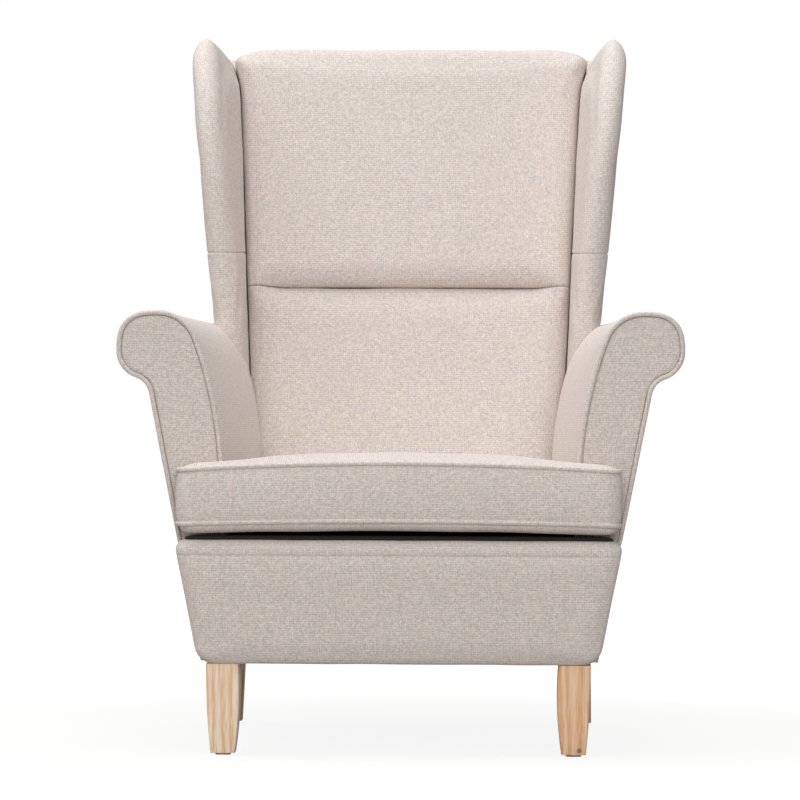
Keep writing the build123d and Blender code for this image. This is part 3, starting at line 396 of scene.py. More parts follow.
def linen_weave():
    """Melange linen-look upholstery, plain woven from slubby polyester yarns of near shades.

    The eye sees short upright and level dashes of thread, here the upright and there the level ones on
    top, peach threads among lilac-grey ones, and no gloss. The threads are drawn 1.6 mm wide, about twice
    the real width, so that they show.
    """
    material, tree, shader = new_material("linen_weave_upholstery")
    place = add(tree, "TexCoord").outputs["Object"]
    normal = add(tree, "NewGeometry").outputs["Normal"]
    facing = add(tree, "VectorMath", {0: normal, 1: normal}, operation="MULTIPLY").outputs[0]
    along = add(tree, "VectorMath", {0: (1, 1, 1), 1: facing}, operation="SUBTRACT").outputs[0]
    thread, dash, patch, pitch = 1.6 * MM, 2.8 * MM, 13 * MM, 3.2 * MM

    # Each direction has its own rows of dashes, and each dash its own lightness and hue
    light, hue = add(tree, "CombineXYZ"), add(tree, "CombineXYZ")
    for axis in range(3):
        runs = np.eye(3)[axis]
        size = np.where(runs > 0, dash, thread)
        cells = add(tree, "VectorMath", {0: place, 1: 1 / size}, operation="MULTIPLY").outputs[0]
        whole = add(tree, "VectorMath", {0: cells}, operation="FLOOR").outputs[0]
        row = add(tree, "VectorMath", {0: whole, 1: 1 - runs}, operation="MULTIPLY").outputs[0]
        shift = add(tree, "TexWhiteNoise", {"Vector": row}).outputs["Value"]
        staggered = {0: runs, 1: shift, 2: cells}
        loose = add(tree, "VectorMath", staggered, operation="MULTIPLY_ADD").outputs[0]
        cell = add(tree, "VectorMath", {0: loose}, operation="FLOOR").outputs[0]
        shade = add(tree, "TexWhiteNoise", {"Vector": cell}).outputs["Color"]
        parts = add(tree, "SeparateXYZ", {0: shade})
        tree.links.new(parts.outputs[0], light.inputs[axis])
        tree.links.new(parts.outputs[1], hue.inputs[axis])

    # Patches where one direction lies on top, and only directions that run along the surface
    cloud = add(tree, "TexNoise", {"Vector": place, "Scale": 1 / patch, "Detail": 1.0}).outputs["Color"]
    contrast = {0: cloud, 1: (7, 7, 7), 2: (-3, -3, -3)}
    steep = add(tree, "VectorMath", contrast, operation="MULTIPLY_ADD").outputs[0]
    least = add(tree, "VectorMath", {0: steep, 1: (0.45, 0.45, 0.45)}, operation="MAXIMUM").outputs[0]
    most = add(tree, "VectorMath", {0: least, 1: (1, 1, 1)}, operation="MINIMUM").outputs[0]
    share = add(tree, "VectorMath", {0: most, 1: along}, operation="MULTIPLY").outputs[0]
    total = add(tree, "VectorMath", {0: share, 1: (1, 1, 1)}, operation="DOT_PRODUCT").outputs["Value"]
    mean = []
    for drawn in (light.outputs[0], hue.outputs[0]):
        part = add(tree, "VectorMath", {0: drawn, 1: share}, operation="DOT_PRODUCT").outputs["Value"]
        mean.append(add(tree, "Math", {0: part, 1: total}, operation="DIVIDE").outputs[0])

    # The weave's rows of crossings
    turns = add(tree, "VectorMath", {0: place, 3: 2 * math.pi / pitch}, operation="SCALE").outputs[0]
    lines = add(tree, "VectorMath", {0: turns}, operation="SINE").outputs[0]
    weave = add(tree, "VectorMath", {0: lines, 1: share}, operation="DOT_PRODUCT").outputs["Value"]
    lit = add(tree, "Math", {0: mean[0], 1: 0.42, 2: 0.79}, operation="MULTIPLY_ADD").outputs[0]
    value = add(tree, "Math", {0: weave, 1: 0.095, 2: lit}, operation="MULTIPLY_ADD").outputs[0]
    yarn = add(tree, "ValToRGB", {"Fac": mean[1]}, stops=YARN_SHADES).outputs["Color"]
    colour = add(tree, "HueSaturation", {"Color": yarn, "Value": value}).outputs[0]
    tree.links.new(colour, shader.inputs["Base Color"])
    bump = add(tree, "Bump", {"Strength": 0.1, "Distance": 0.5 * MM, "Height": weave})
    tree.links.new(bump.outputs[0], shader.inputs["Normal"])
    shader.inputs["Roughness"].default_value = 0.95
    shader.inputs["Specular IOR Level"].default_value = 0.1
    shader.inputs["Sheen Weight"].default_value = 0.08
    return material


def black_cambric():
    """Black spun-bonded lining: dull, faintly dimpled every 2 mm."""
    material, tree, shader = new_material("black_spunbond_lining")
    place = add(tree, "TexCoord").outputs["Object"]
    dimple = add(tree, "TexVoronoi", {"Vector": place, "Scale": 1 / (2 * MM)}).outputs["Distance"]
    black = add(tree, "ValToRGB", {"Fac": dimple}, stops=[(0.0, "#141312"), (0.8, "#1d1b1a")])
    tree.links.new(black.outputs["Color"], shader.inputs["Base Color"])
    bump = add(tree, "Bump", {"Strength": 0.3, "Distance": 0.2 * MM, "Height": dimple})
    tree.links.new(bump.outputs[0], shader.inputs["Normal"])
    shader.inputs["Roughness"].default_value = 0.95
    return material


RIGHT_PLANK_TINT = (-0.07, -0.22, -0.34)
KNOT_PLACE = (0.2525, 0, 0.009)


def planed_pine(name, light, middle, dark, ring_mm, seed):
    """Pine planed with the grain upright, under a matt lacquer.

    The eye sees cream wood between narrow orange growth lines that waver a little, fine upright fibres,
    and a warmer plank and a small knot on the right.
    """
    material, tree, shader = new_material(name)
    place = add(tree, "TexCoord").outputs["Object"]
    stretch = {"Vector": place, "Location": (seed, 0, 0), "Scale": (1, 1, 0.07)}
    drawn = add(tree, "Mapping", stretch).outputs[0]
    wander = add(tree, "TexNoise", {"Vector": drawn, "Scale": 1 / (26 * MM), "Detail": 3.0})
    offset = add(tree, "VectorMath", {0: wander.outputs["Color"], 3: 30 * MM}, operation="SCALE").outputs[0]
    bent = add(tree, "VectorMath", {0: drawn, 1: offset}, operation="ADD").outputs[0]
    rings = add(tree, "TexWave", {"Vector": bent, "Scale": 0.314 / (ring_mm * MM), "Distortion": 1.2,
                                  "Detail": 2.0, "Detail Scale": 1.2}, bands_direction="X").outputs["Fac"]
    fibre_size = (1 / (1.4 * MM), 1 / (1.4 * MM), 1 / (60 * MM))
    grain = add(tree, "Mapping", {"Vector": place, "Scale": fibre_size}).outputs[0]
    fibre = add(tree, "TexNoise", {"Vector": grain, "Scale": 1.0, "Detail": 2.0}).outputs[0]
    both_grains = add(tree, "Math", {0: rings, 1: 0.3, 2: fibre}, operation="MULTIPLY_ADD").outputs[0]
    shades = [(0.42, light), (0.66, middle), (0.9, dark)]
    wood = add(tree, "ValToRGB", {"Fac": both_grains}, stops=shades).outputs["Color"]
    across = add(tree, "SeparateXYZ", {0: place}).outputs["X"]
    right = add(tree, "Math", {0: across, 1: 0.0}, operation="GREATER_THAN").outputs[0]
    tinted = {0: right, 1: RIGHT_PLANK_TINT, 2: (1, 1, 1)}
    warmth = add(tree, "VectorMath", tinted, operation="MULTIPLY_ADD").outputs[0]
    level = add(tree, "VectorMath", {0: place, 1: (1, 0, 1)}, operation="MULTIPLY").outputs[0]
    to_knot = add(tree, "VectorMath", {0: level, 1: KNOT_PLACE}, operation="DISTANCE").outputs["Value"]
    knot = add(tree, "MapRange", {"Value": to_knot, 1: 2 * MM, 2: 5 * MM, 3: 0.35, 4: 1.0}).outputs[0]
    tint = add(tree, "VectorMath", {0: warmth, 3: knot}, operation="SCALE").outputs[0]
    colour = add(tree, "VectorMath", {0: wood, 1: tint}, operation="MULTIPLY").outputs[0]
    tree.links.new(colour, shader.inputs["Base Color"])
    bump = add(tree, "Bump", {"Strength": 0.12, "Distance": 0.2 * MM, "Height": fibre})
    tree.links.new(bump.outputs[0], shader.inputs["Normal"])
    shader.inputs["Roughness"].default_value = 0.5
    return material


def grained(name, code, other, grain_mm, roughness, metallic=0.0):
    """A hidden piece's finish: two near shades in fine grains."""
    material, tree, shader = new_material(name)
    place = add(tree, "TexCoord").outputs["Object"]
    grain = add(tree, "TexNoise", {"Vector": place, "Scale": 1 / (grain_mm * MM), "Detail": 3.0})
    shade = add(tree, "ValToRGB", {"Fac": grain.outputs[0]}, stops=[(0.35, code), (0.65, other)])
    tree.links.new(shade.outputs["Color"], shader.inputs["Base Color"])
    shader.inputs["Roughness"].default_value = roughness
    shader.inputs["Metallic"].default_value = metallic
    return material


LINEN = linen_weave()
BLACK = black_cambric()
LEG_WOOD = planed_pine("pale_pine_lacquered", "#fbead5", "#f3d4b4", "#e3b68f", 13, 0.3)
FRAME_WOOD = planed_pine("frame_softwood", "#d9c29c", "#c9ab80", "#b08d62", 12, 1.7)
# Bright drawn wire and screws, cool grey with a soft sheen
STEEL = grained("zinc_plated_steel", "#b9bcc0", "#a4a8ad", 3, 0.35, 1.0)
# Woven rubber bands, dark and dull
WEBBING = grained("elastic_webbing", "#34302c", "#4a453f", 1.5, 0.9)
# Moulded discs, off-white and half matt
GLIDE = grained("nylon_glide", "#d9d6d0", "#cfcbc4", 4, 0.5)
# Fine woven tape, the linen's colour and dull
ZIP_TAPE = grained("zip_tape", "#c8bdb2", "#b9ada2", 1.2, 0.85)
# Cast and plated, warm grey with a clear sheen
ZIP_METAL = grained("zip_slider_nickel", "#c9c7c2", "#b5b3ae", 2, 0.3, 1.0)


# Rolled arms

def arm_outline(inset):
    """The arm's outline at the front: up the inner face, over the roll and down to the hollow under it."""
    up = np.array((math.sin(ARM_LEAN), math.cos(ARM_LEAN)))
    inward = np.array((math.cos(ARM_LEAN), -math.sin(ARM_LEAN)))
    foot = np.array((ARM_INNER_X, ARM_FOOT_Z))
    straight_end = foot + up * (ARM_STRAIGHT_Z - ARM_FOOT_Z) / up[1]
    roll = np.array((ARM_HALF - ROLL_R, ARM_TOP_Z - ROLL_R))
    to_roll = straight_end - roll
    inner_r = (ROLL_R ** 2 - to_roll @ to_roll) / (2 * (inward @ to_roll + ROLL_R))
    inner_centre = straight_end + inward * inner_r
    under = np.array((ARM_HALF - ROLL_UNDER_R, roll[1] + 2.0))
    tilt = math.atan(SIDE_LEAN)
    along = np.array((math.sin(tilt), math.cos(tilt)))
    out = np.array((math.cos(tilt), -math.sin(tilt)))
    on_plane = np.array((front_half(roll[1]), roll[1])) + out * ROLL_NECK_R
    gap = on_plane - under
    b, c = gap @ along, gap @ gap - (ROLL_UNDER_R + ROLL_NECK_R) ** 2
    neck = on_plane + along * (-b - math.sqrt(b * b - c))
    start = math.atan2(*-inward[::-1]) % (2 * math.pi)
    meet = math.atan2(*(roll - inner_centre)[::-1])
    fall = math.atan2(*(neck - under)[::-1])
    hollow = fall + math.pi
    hollow_end = math.atan2(*-out[::-1]) % (2 * math.pi)
    turns = np.linspace(meet, 0, 40)[1:]
    ways = np.column_stack((np.cos(turns), np.sin(turns)))
    square = np.where(turns < math.pi / 2, ROLL_SQUARE, 2.0)
    reach = np.sum(np.abs(ways) ** square[:, None], axis=1) ** (-1 / square) * ROLL_R - inset
    return np.vstack((
        [foot + inward * inset],
        arc(inner_centre, inner_r - inset, start, meet, 40),
        roll + ways * reach[:, None],
        arc(under, ROLL_UNDER_R - inset, 0, fall, 20)[1:],
        arc(neck, ROLL_NECK_R + inset, hollow, hollow_end, 12)[1:],
    ))


NECK_Z = arm_outline(0)[-1][1]
ARM_SLAB = 31.0          # from the outside arm in to the hidden side of the pad
ARM_RING = 128
ARM_INTO_BACK = 14.0


def arm_ring(share, inset, front_y):
    """The arm's closed section at a share of its length, from the front to the raked back."""
    outline = arm_outline(inset)
    top = side_half(NECK_Z, 0) - ARM_SLAB
    low = side_half(ARM_FOOT_Z, 0) - ARM_SLAB
    closed = even(np.vstack((outline, [(top, NECK_Z + inset)], [(low, ARM_FOOT_Z)])), ARM_RING)
    points = []
    for x, z in closed:
        y = front_y + share * (inside_y(z) + ARM_INTO_BACK / math.cos(RAKE) - front_y)
        points.append((x - arm_shift(y), y, z))
    return np.array(points)


def make_arm():
    """The padded arm: its cover curls in behind the front piping and over the rear end."""
    front_y = ARM_FRONT_Y + 4
    stations = [(0, 6), (0.005, 3.5), (0.012, 2.0), (0.022, 0.8)]
    stations += [(share, 0) for share in np.linspace(0.04, 0.97, 44)]
    stations += [(0.985, 0.6), (0.995, 2.5), (1.0, 6)]
    bm = loft([arm_ring(share, inset, front_y) for share, inset in stations])
    piece = piece_from("right_arm", bm, LINEN)
    x, y, z = (coordinates(piece) / MM).T
    hidden = (x > side_half(NECK_Z, 0) - ARM_SLAB - 12) & (z < NECK_Z + 4)
    rear = y > inside_y(z) - 12
    swell(piece, hidden | rear | (y < front_y + 8) | (z < ARM_FOOT_Z + 4), 4.0)
    return subdivided(piece, 1)


# How far in from the arm's outline the facing's rings lie, and how far behind its front
FACING_RINGS = ((6.5, 6.9), (6.5, 5.4), (7.1, 3.2), (8.7, 2.3), (11.7, 1.9), (17.7, 1.8), (19.7, 1.8))


def make_facing():
    """The flat scroll-shaped front panel, rolled over a little inside its piping."""
    rings = []
    for inset, y in FACING_RINGS:
        foot = (front_half(ARM_FOOT_Z) - inset, ARM_FOOT_Z)
        outline = even(np.vstack((arm_outline(inset), [foot])), 220)
        rings.append([(x, ARM_FRONT_Y + y, z) for x, z in outline])
    return piece_from("right_facing", loft(rings), LINEN)


def piping(name, points, closed):
    """A fabric-covered cord along a line of points."""
    curve = bpy.data.curves.new(name, "CURVE")
    curve.dimensions = "3D"
    curve.bevel_depth = PIPING_R * MM
    curve.bevel_resolution = 3
    curve.use_fill_caps = not closed
    spline = curve.splines.new("POLY")
    spline.points.add(len(points) - 1)
    for knot, point in zip(spline.points, points):
        knot.co = (*(np.array(point) * MM), 1)
    spline.use_cyclic_u = closed
    drawn = bpy.data.objects.new(name + "_line", curve)
    bpy.context.scene.collection.objects.link(drawn)
    mesh = bpy.data.meshes.new_from_object(drawn.evaluated_get(bpy.context.evaluated_depsgraph_get()))
    bpy.data.objects.remove(drawn)
    bpy.data.curves.remove(curve)
    mesh.name = name
    mesh.materials.clear()
    mesh.materials.append(LINEN)
    mesh.polygons.foreach_set("use_smooth", [True] * len(mesh.polygons))
    piece = bpy.data.objects.new(name, mesh)
    bpy.context.scene.collection.objects.link(piece)
    return piece


def make_arm_piping():
    """The piping round the facing, sunk a little into the arm's outline."""
    outline = arm_outline(PIPING_R - 0.8)
    foot = (front_half(ARM_FOOT_Z) - PIPING_R, ARM_FOOT_Z)
    points = even(np.vstack((outline, [foot])), 220, closed=False)
    return piping("right_piping", [(x, ARM_FRONT_Y + PIPING_R, z) for x, z in points], False)


# How far in from its edge the outside arm's rings lie, and how deep below its face
OUTSIDE_ARM_RINGS = ((2.0, 4.0), (0.4, 3.6), (0, 2.0), (0.3, 0.6), (1.6, 0.0))


def make_outside_arm():
    """Cloth stretched over a board from the roll's hollow to the base, and turned in behind the apron."""
    top, low = NECK_Z - 0.3, BASE_Z
    rings = []
    for inset, depth in OUTSIDE_ARM_RINGS:
        front = ARM_FRONT_Y + FACING_DEPTH + inset
        corners = [(front, low + inset), (front, top - inset)]
        for z in (top - inset, low + inset):
            corners.append((outside_y(z) - (BACK_CLOTH + inset) / math.cos(RAKE), z))
        ring = even(rounded(corners, [3.0] * 4, 10), 240)
        rings.append([(side_half(z, y) - depth, y, z) for y, z in ring])
    bm = loft(rings)

    # The lip behind the apron
    foot, head, inner = low + 0.8, ARM_FOOT_Z - 1, BASE_HALF - 50
    corners = [(inner, foot), (front_half(foot) - 0.5, foot), (front_half(head) - 0.5, head), (inner, head)]
    lip = even(rounded(corners, [2.0] * 4), 80)
    loft([[(x, ARM_FRONT_Y + FACING_DEPTH + y, z) for x, z in lip] for y in (-1.4, 0.6)], bm=bm)

    # The ledge along the top, behind the roll
    front, rear = 60.0, outside_y(top) - 8
    wide, narrow = side_half(top, front), side_half(top, rear)
    corners = [(wide - 1.2, front), (narrow - 1.2, rear), (narrow - 25, rear), (wide - 45, front)]
    ledge = even(rounded(corners, [2.0] * 4), 80)
    loft([[(x, y, top - drop) for x, y in ledge] for drop in (3.0, 0.7)], bm=bm)
    return subdivided(piece_from("right_outside_arm", bm, LINEN), 1)


# Wings

WING_TOP_Z = node_box("right_wing_cover")[1][2] + 11.0
WING_SEAM_Z = 727.0
WING_SEAM_CLIMB = 0.053
WING_FRONT_Y = inside_y(735.0) - 116.4
WING_SWEEP = 105.0       # how far back the wing's front lies at its top
WING_RING = 96


def wing_curl(z, height, width):
    """How far the wing's side is drawn in near its rounded top."""
    q = max(0.0, (z - WING_TOP_Z + height) / height)
    return width * (1 - math.sqrt(max(0.0, 1 - q * q)))


def wing_section(z):
    """The wing's outline at one height, from its outer rear corner round the nose to the inside back."""
    drawn, drawn_out = wing_curl(z, 34.0, 15.3), wing_curl(z, 48.0, 27.0)
    share = clamped((z - ARM_TOP_Z) / 300.0)
    rise = max(0.0, (min(z, WING_TOP_Z - 4) - WING_SEAM_Z) / (WING_TOP_Z - WING_SEAM_Z))
    outer_rear = outer_half(z) - drawn_out
    outer_front = outer_rear + 6.0
    inner_rear = inside_half(z) - 1.0 + drawn
    inner_front = inner_rear + 4.0 + 16.0 * share
    front = WING_FRONT_Y + WING_SWEEP * rise ** 3.2 + drawn
    rear = outside_y(z) - BACK_CLOTH / math.cos(RAKE) - drawn
    nose = (outer_front - inner_front) / 2
    middle = ((outer_front + inner_front) / 2, front + nose)
    joint = max(front + nose + 4, inside_y(z))
    flat = np.vstack((
        [(outer_rear, rear)],
        arc(middle, nose, 0, -math.pi, 24),
        [(inner_rear, joint)], [(inner_rear, rear)],
    ))
    return np.array([(x, y, z) for x, y in even(flat, WING_RING)])


def arm_height(x, y):
    """The height of the arm's top surface at a place."""
    outline = arm_outline(0)
    peak = int(np.argmax(outline[:, 1]))
    return np.interp(x + arm_shift(y), outline[:peak, 0], outline[:peak, 1])


def wing_crest(points):
    """Slopes the wing's top down towards the inside back."""
    x, y, z = points.T
    inward = np.array([outer_half(h) for h in z]) + 4.0 - x
    near_top = np.clip((z - WING_TOP_Z + 110) / 110, 0, 1)
    fall = 30.0 * np.clip((inward - 14) / 40, 0, 1.2) ** 2
    return np.column_stack((x, y, z - fall * near_top * near_top * (3 - 2 * near_top)))


def wing_seam(y):
    """The seam's height, which climbs a little towards the back."""
    return WING_SEAM_Z + WING_SEAM_CLIMB * (y - WING_FRONT_Y)


def make_wing():
    """The padded wing, which stands on the arm and runs down behind it, with a seam across it."""
    near_top = WING_TOP_Z - 48 * (1 - np.sin(np.linspace(0, 1, 16) * math.pi / 2))
    heights = np.concatenate((np.linspace(NECK_Z - 10, WING_TOP_Z - 49, 60), near_top))
    table = np.array([wing_section(z) for z in heights])
    foot = []
    for x, y, z in wing_section(ARM_TOP_Z - 20):
        on_arm = y < inside_y(NECK_Z) + 1
        foot.append(arm_height(x, y) - 6 if on_arm else NECK_Z - 7)
    foot = np.convolve(foot[-1:] + foot + foot[:1], (0.25, 0.5, 0.25), "valid")
    seam = wing_seam(table[30][:, 1])
    below, above = seam - 6, seam + 6
    levels = [foot + s * (below - foot) for s in np.linspace(0, 1, 26)]
    levels += [seam + d for d in (-3, -1.4, -0.6, 0, 0.6, 1.4, 3)]
    curl = 0.88 + 0.12 * np.sin(np.linspace(0.1, 1, 12) * math.pi / 2)
    levels += [above + s * (WING_TOP_Z - above) for s in np.concatenate((np.linspace(0, 0.88, 36), curl))]
    rings = []
    for level in levels:
        ring = []
        for j, z in enumerate(level):
            ring.append([np.interp(z, heights, table[:, j, k]) for k in range(3)])
        rings.append(ring)
    for point in (p for ring in rings[:2] for p in ring if p[2] < NECK_Z + 1):
        point[0] -= 2.2 * (point[0] > outer_half(point[2]) - 12)
    piece = piece_from("right_wing", loft(rings), LINEN)
    x, y, z = (coordinates(piece) / MM).T
    inner = (y > inside_y(z) + 12) & (x < inside_half(z) + 8)
    rear = y > outside_y(z) - 12
    swell(piece, inner | rear | (z < ARM_TOP_Z - 10), 3.0)
    press(piece, lambda at: 0.4 * ripple(at, 45.0) - 1.8 * dip(at[:, 2] - wing_seam(at[:, 1]), 1.0))
    set_coordinates(piece, wing_crest(coordinates(piece) / MM) * MM)
    return subdivided(piece, 1)


# Inside and outside back

BACK_SLIT = 3.0          # the dark joint between the wings and the inside back
SIDE_SHARE, SIDE_FADE = 0.79, 0.14       # where the tuck starts to fade out towards the sides, and how fast
PANEL_WALL = (0.08, 0.2, 0.5, 1.0)


def panel(name, rows, columns, half_at, place, edges, crown, depth):
    """A padded panel: a grid crowned between its rolled edges, with sides that run back to the frame.

    Rows are heights, columns are shares of the half width, and edges are (reach, drop, fade) at the
    sides, the foot and the top.
    """
    bm = bmesh.new()
    bmesh.ops.create_grid(bm, x_segments=len(columns) - 1, y_segments=len(rows) - 1, size=1.0)
    border = [e for e in bm.edges if e.is_boundary]
    held = bm.verts.layers.int.new("held")
    depths = {}
    for vert in bm.verts:
        share = columns[round((vert.co.x + 1) / 2 * (len(columns) - 1))]
        v = rows[round((vert.co.y + 1) / 2 * (len(rows) - 1))]
        half = half_at(v)
        n = crown
        for gap, (reach, drop, fade) in zip((half * (1 - abs(share)), v - rows[0], rows[-1] - v), edges):
            if gap < reach:
                kept = 1 - fade * clamped((abs(share) - SIDE_SHARE) / SIDE_FADE)
                n -= kept * drop * (1 - math.sqrt(max(0.0, 1 - (1 - gap / reach) ** 2)))
        depths[vert] = (half * share, v, n)
        vert.co = Vector(place(half * share, v, n)) * MM
    for vert in {v for e in border for v in e.verts}:
        vert[held] = 1
    ring = border
    for step in PANEL_WALL:
        made = bmesh.ops.extrude_edge_only(bm, edges=ring)["geom"]
        verts = [g for g in made if isinstance(g, bmesh.types.BMVert)]
        ring = [g for g in made if isinstance(g, bmesh.types.BMEdge)]
        for vert in verts:
            others = (e.other_vert(vert) for e in vert.link_edges)
            x, v, n = depths[next(o for o in others if o in depths and o not in verts)]
            depths[vert] = (x, v, n)
            vert[held] = 1
            vert.co = Vector(place(x, v, n + (-depth - n) * step)) * MM
    bmesh.ops.contextual_create(bm, geom=ring)
    return piece_from(name, bm, LINEN)


def border_of(piece):
    """The points of a panel that are stapled down."""
    marks = np.zeros(len(piece.data.vertices), np.int32)
    piece.data.attributes["held"].data.foreach_get("value", marks)
    piece.data.attributes.remove(piece.data.attributes["held"])
    return marks > 0


def make_upper_back():
    """The upper cushion of the inside back, which rolls over the tuck and over the top."""
    low, high = up_rake(TUCK_Z), up_rake(BACK_TOP_Z + 9)

    def half_at(v):
        flare = clamped((v - high + 70) / 70)
        slit = inside_half(SEAT_BACK_Z + v * math.cos(RAKE)) - BACK_SLIT
        return slit + (7 + BACK_SLIT) * flare ** 1.7 - corner_cut(high - v + 1, 8.0)

    def place(x, v, n):
        side = clamped((abs(x) - half_at(v) + 62) / 62)
        return rake_point(x, v - 13 * side ** 2 * clamped((v - high + 110) / 110), n)

    edges = ((17, 17, 0), (17, 12, 0.9), (24, 11, 0))
    piece = panel("upper_back", spread(low, high, 44), spread(-1, 1, 62), half_at, place, edges, 1.0, 111.7)
    points = coordinates(piece) / MM
    in_front = np.array([rake_n(p) for p in points]) > -22
    rolled = in_front & (points[:, 2] < TUCK_Z + 12) & (np.abs(points[:, 0]) < 205)
    swell(piece, border_of(piece) & ~rolled, 3.0)
    press(piece, lambda at: 0.5 * ripple(at, 60.0))
    return subdivided(piece, 1)


def make_lower_back():
    """The lower cushion of the inside back, from the tuck down behind the seat."""
    low, high = up_rake(314.0), up_rake(TUCK_Z - 1)

    def half_at(v):
        return inside_half(SEAT_BACK_Z + v * math.cos(RAKE)) - BACK_SLIT

    def place(x, v, n):
        side = clamped((abs(x) / half_at(v) - SIDE_SHARE) / SIDE_FADE)
        near = clamped((v - high + 60) / 60)
        return rake_point(x, v, n + 8 * side * near * near)

    edges = ((17, 14, 0), (30, 12, 0), (12, 7, 0.9))
    piece = panel("lower_back", spread(low, high, 44), spread(-1, 1, 62), half_at, place, edges, -8.0, 58.0)
    swell(piece, border_of(piece), 5.0)
    press(piece, lambda at: 0.5 * ripple(at, 60.0))
    return subdivided(piece, 1)


def make_outside_back():
    """The stretched cloth panel that closes the back."""
    right = [(outer_half(z), up_rake(z, -BACK_DEPTH)) for z in (BASE_Z, ARM_TOP_Z, BACK_TOP_Z)]
    corners = right + [(-x, v) for x, v in reversed(right)]
    outline = even(rounded(corners, [4.0, 60.0, 24.0, 24.0, 60.0, 4.0], 12), 240)
    centre = np.array((0, 300.0))
    rings = []
    for inset, n in ((1.5, 4.0), (0, 3.0), (0, 1.4), (0.8, 0.4), (2.4, 0.0)):
        shrunk = [p + (centre - p) / np.linalg.norm(centre - p) * inset for p in outline]
        rings.append([rake_point(x, v, n - BACK_DEPTH) for x, v in shrunk])
    return piece_from("outside_back", loft(rings), LINEN)


# Apron

APRON_SEAM_Z = 279.0


def make_apron():
    """The padded front panel under the cushion, with rolled edges and a stitched seam near its top."""
    front, depth = APRON_LOW[1], APRON_HIGH[1] - APRON_LOW[1]
    low, high = BASE_Z, APRON_HIGH[2]
    rows = spread(low, APRON_SEAM_Z - 12, 26, 1.3)[:-1]
    rows += [APRON_SEAM_Z + d for d in (-7, -4, -2.2, -1.1, 0, 1.1, 2.2, 4, 7)]
    rows += [APRON_SEAM_Z + 9 + r for r in np.linspace(0, high - APRON_SEAM_Z - 9, 9)]

    def half_at(z):
        return front_half(z) - corner_cut(z - low + 1, 24.0) - corner_cut(high - z + 1, 18.0)

    def place(x, z, n):
        return (x, front - n + 0.05 * max(0, APRON_SEAM_Z - z), z)

    edges = ((20, 12, 0), (14, 9, 0), (16, 12, 0))
    piece = panel("apron", rows, spread(-1, 1, 90, 1.45), half_at, place, edges, -2.5, depth)
    points = coordinates(piece) / MM
    seam = np.abs(points[:, 2] - APRON_SEAM_Z) < 1.5
    swell(piece, seam | border_of(piece), 2.5)
    press(piece, lambda at: 0.25 * ripple(at, 40.0)
          - 1.8 * dip(at[:, 2] - APRON_SEAM_Z, 1.2) * (at[:, 1] < front + 12))
    return subdivided(piece, 1)


# Loose seat cushion

PIPING_LOW, PIPING_HIGH = node_box("cushion_top_piping")
TOP_PIPING = (PIPING_LOW[2] + PIPING_HIGH[2]) / 2
LOW_PIPING = sum(corner[2] for corner in node_box("cushion_bottom_piping")) / 2
CUSHION_FRONT_Y = PIPING_LOW[1]
CUSHION_HALF = PIPING_HIGH[0]
CUSHION_EAR_Y = ARM_FRONT_Y - 7.0
CUSHION_ARM_GAP = 1.5
CUSHION_WALL = 1.5
CUSHION_RING = 260


def cushion_outline(inset, edge_z):
    """The T-shaped outline at a piping's height."""
    neck_front = arm_inner(LOW_PIPING, ARM_FRONT_Y) - CUSHION_ARM_GAP - inset
    neck_back = arm_inner(LOW_PIPING, SEAT_BACK_Y) - CUSHION_ARM_GAP - inset
    side, front, ear = CUSHION_HALF + 2.5 - inset, CUSHION_FRONT_Y + inset, CUSHION_EAR_Y - inset
    back = inside_y(edge_z) + 3.5 / math.cos(RAKE) - inset
    right = [(side, front), (side, ear), (neck_front, ear), (neck_back, back)]
    radii = [24 - inset, 14 - inset, 6 + inset, 26 - inset]
    corners = right + [(-x, y) for x, y in reversed(right)]
    return even(rounded(corners, radii + radii[::-1], 8), CUSHION_RING)


def cushion_arch(points):
    """The stuffed cushion's arch: its pipings rise towards the middle of the front."""
    x, y, z = points.T
    across = 1 - np.clip(x / (CUSHION_HALF - 8), -1, 1) ** 2
    forward = np.clip((-120 - y) / 250, 0, 1)
    level = np.clip((z - LOW_PIPING) / (TOP_PIPING - LOW_PIPING), 0, 1.2)
    rise = (1 - level) * (1 + 5 * across) + level * (-4 + 10 * across)
    return np.column_stack((x, y + 0.05 * (z - LOW_PIPING) * forward, z + rise * forward))


def to_piping(z):
    """How far above or below the nearer piping a height is."""
    return np.minimum(np.abs(z - TOP_PIPING), np.abs(z - LOW_PIPING))


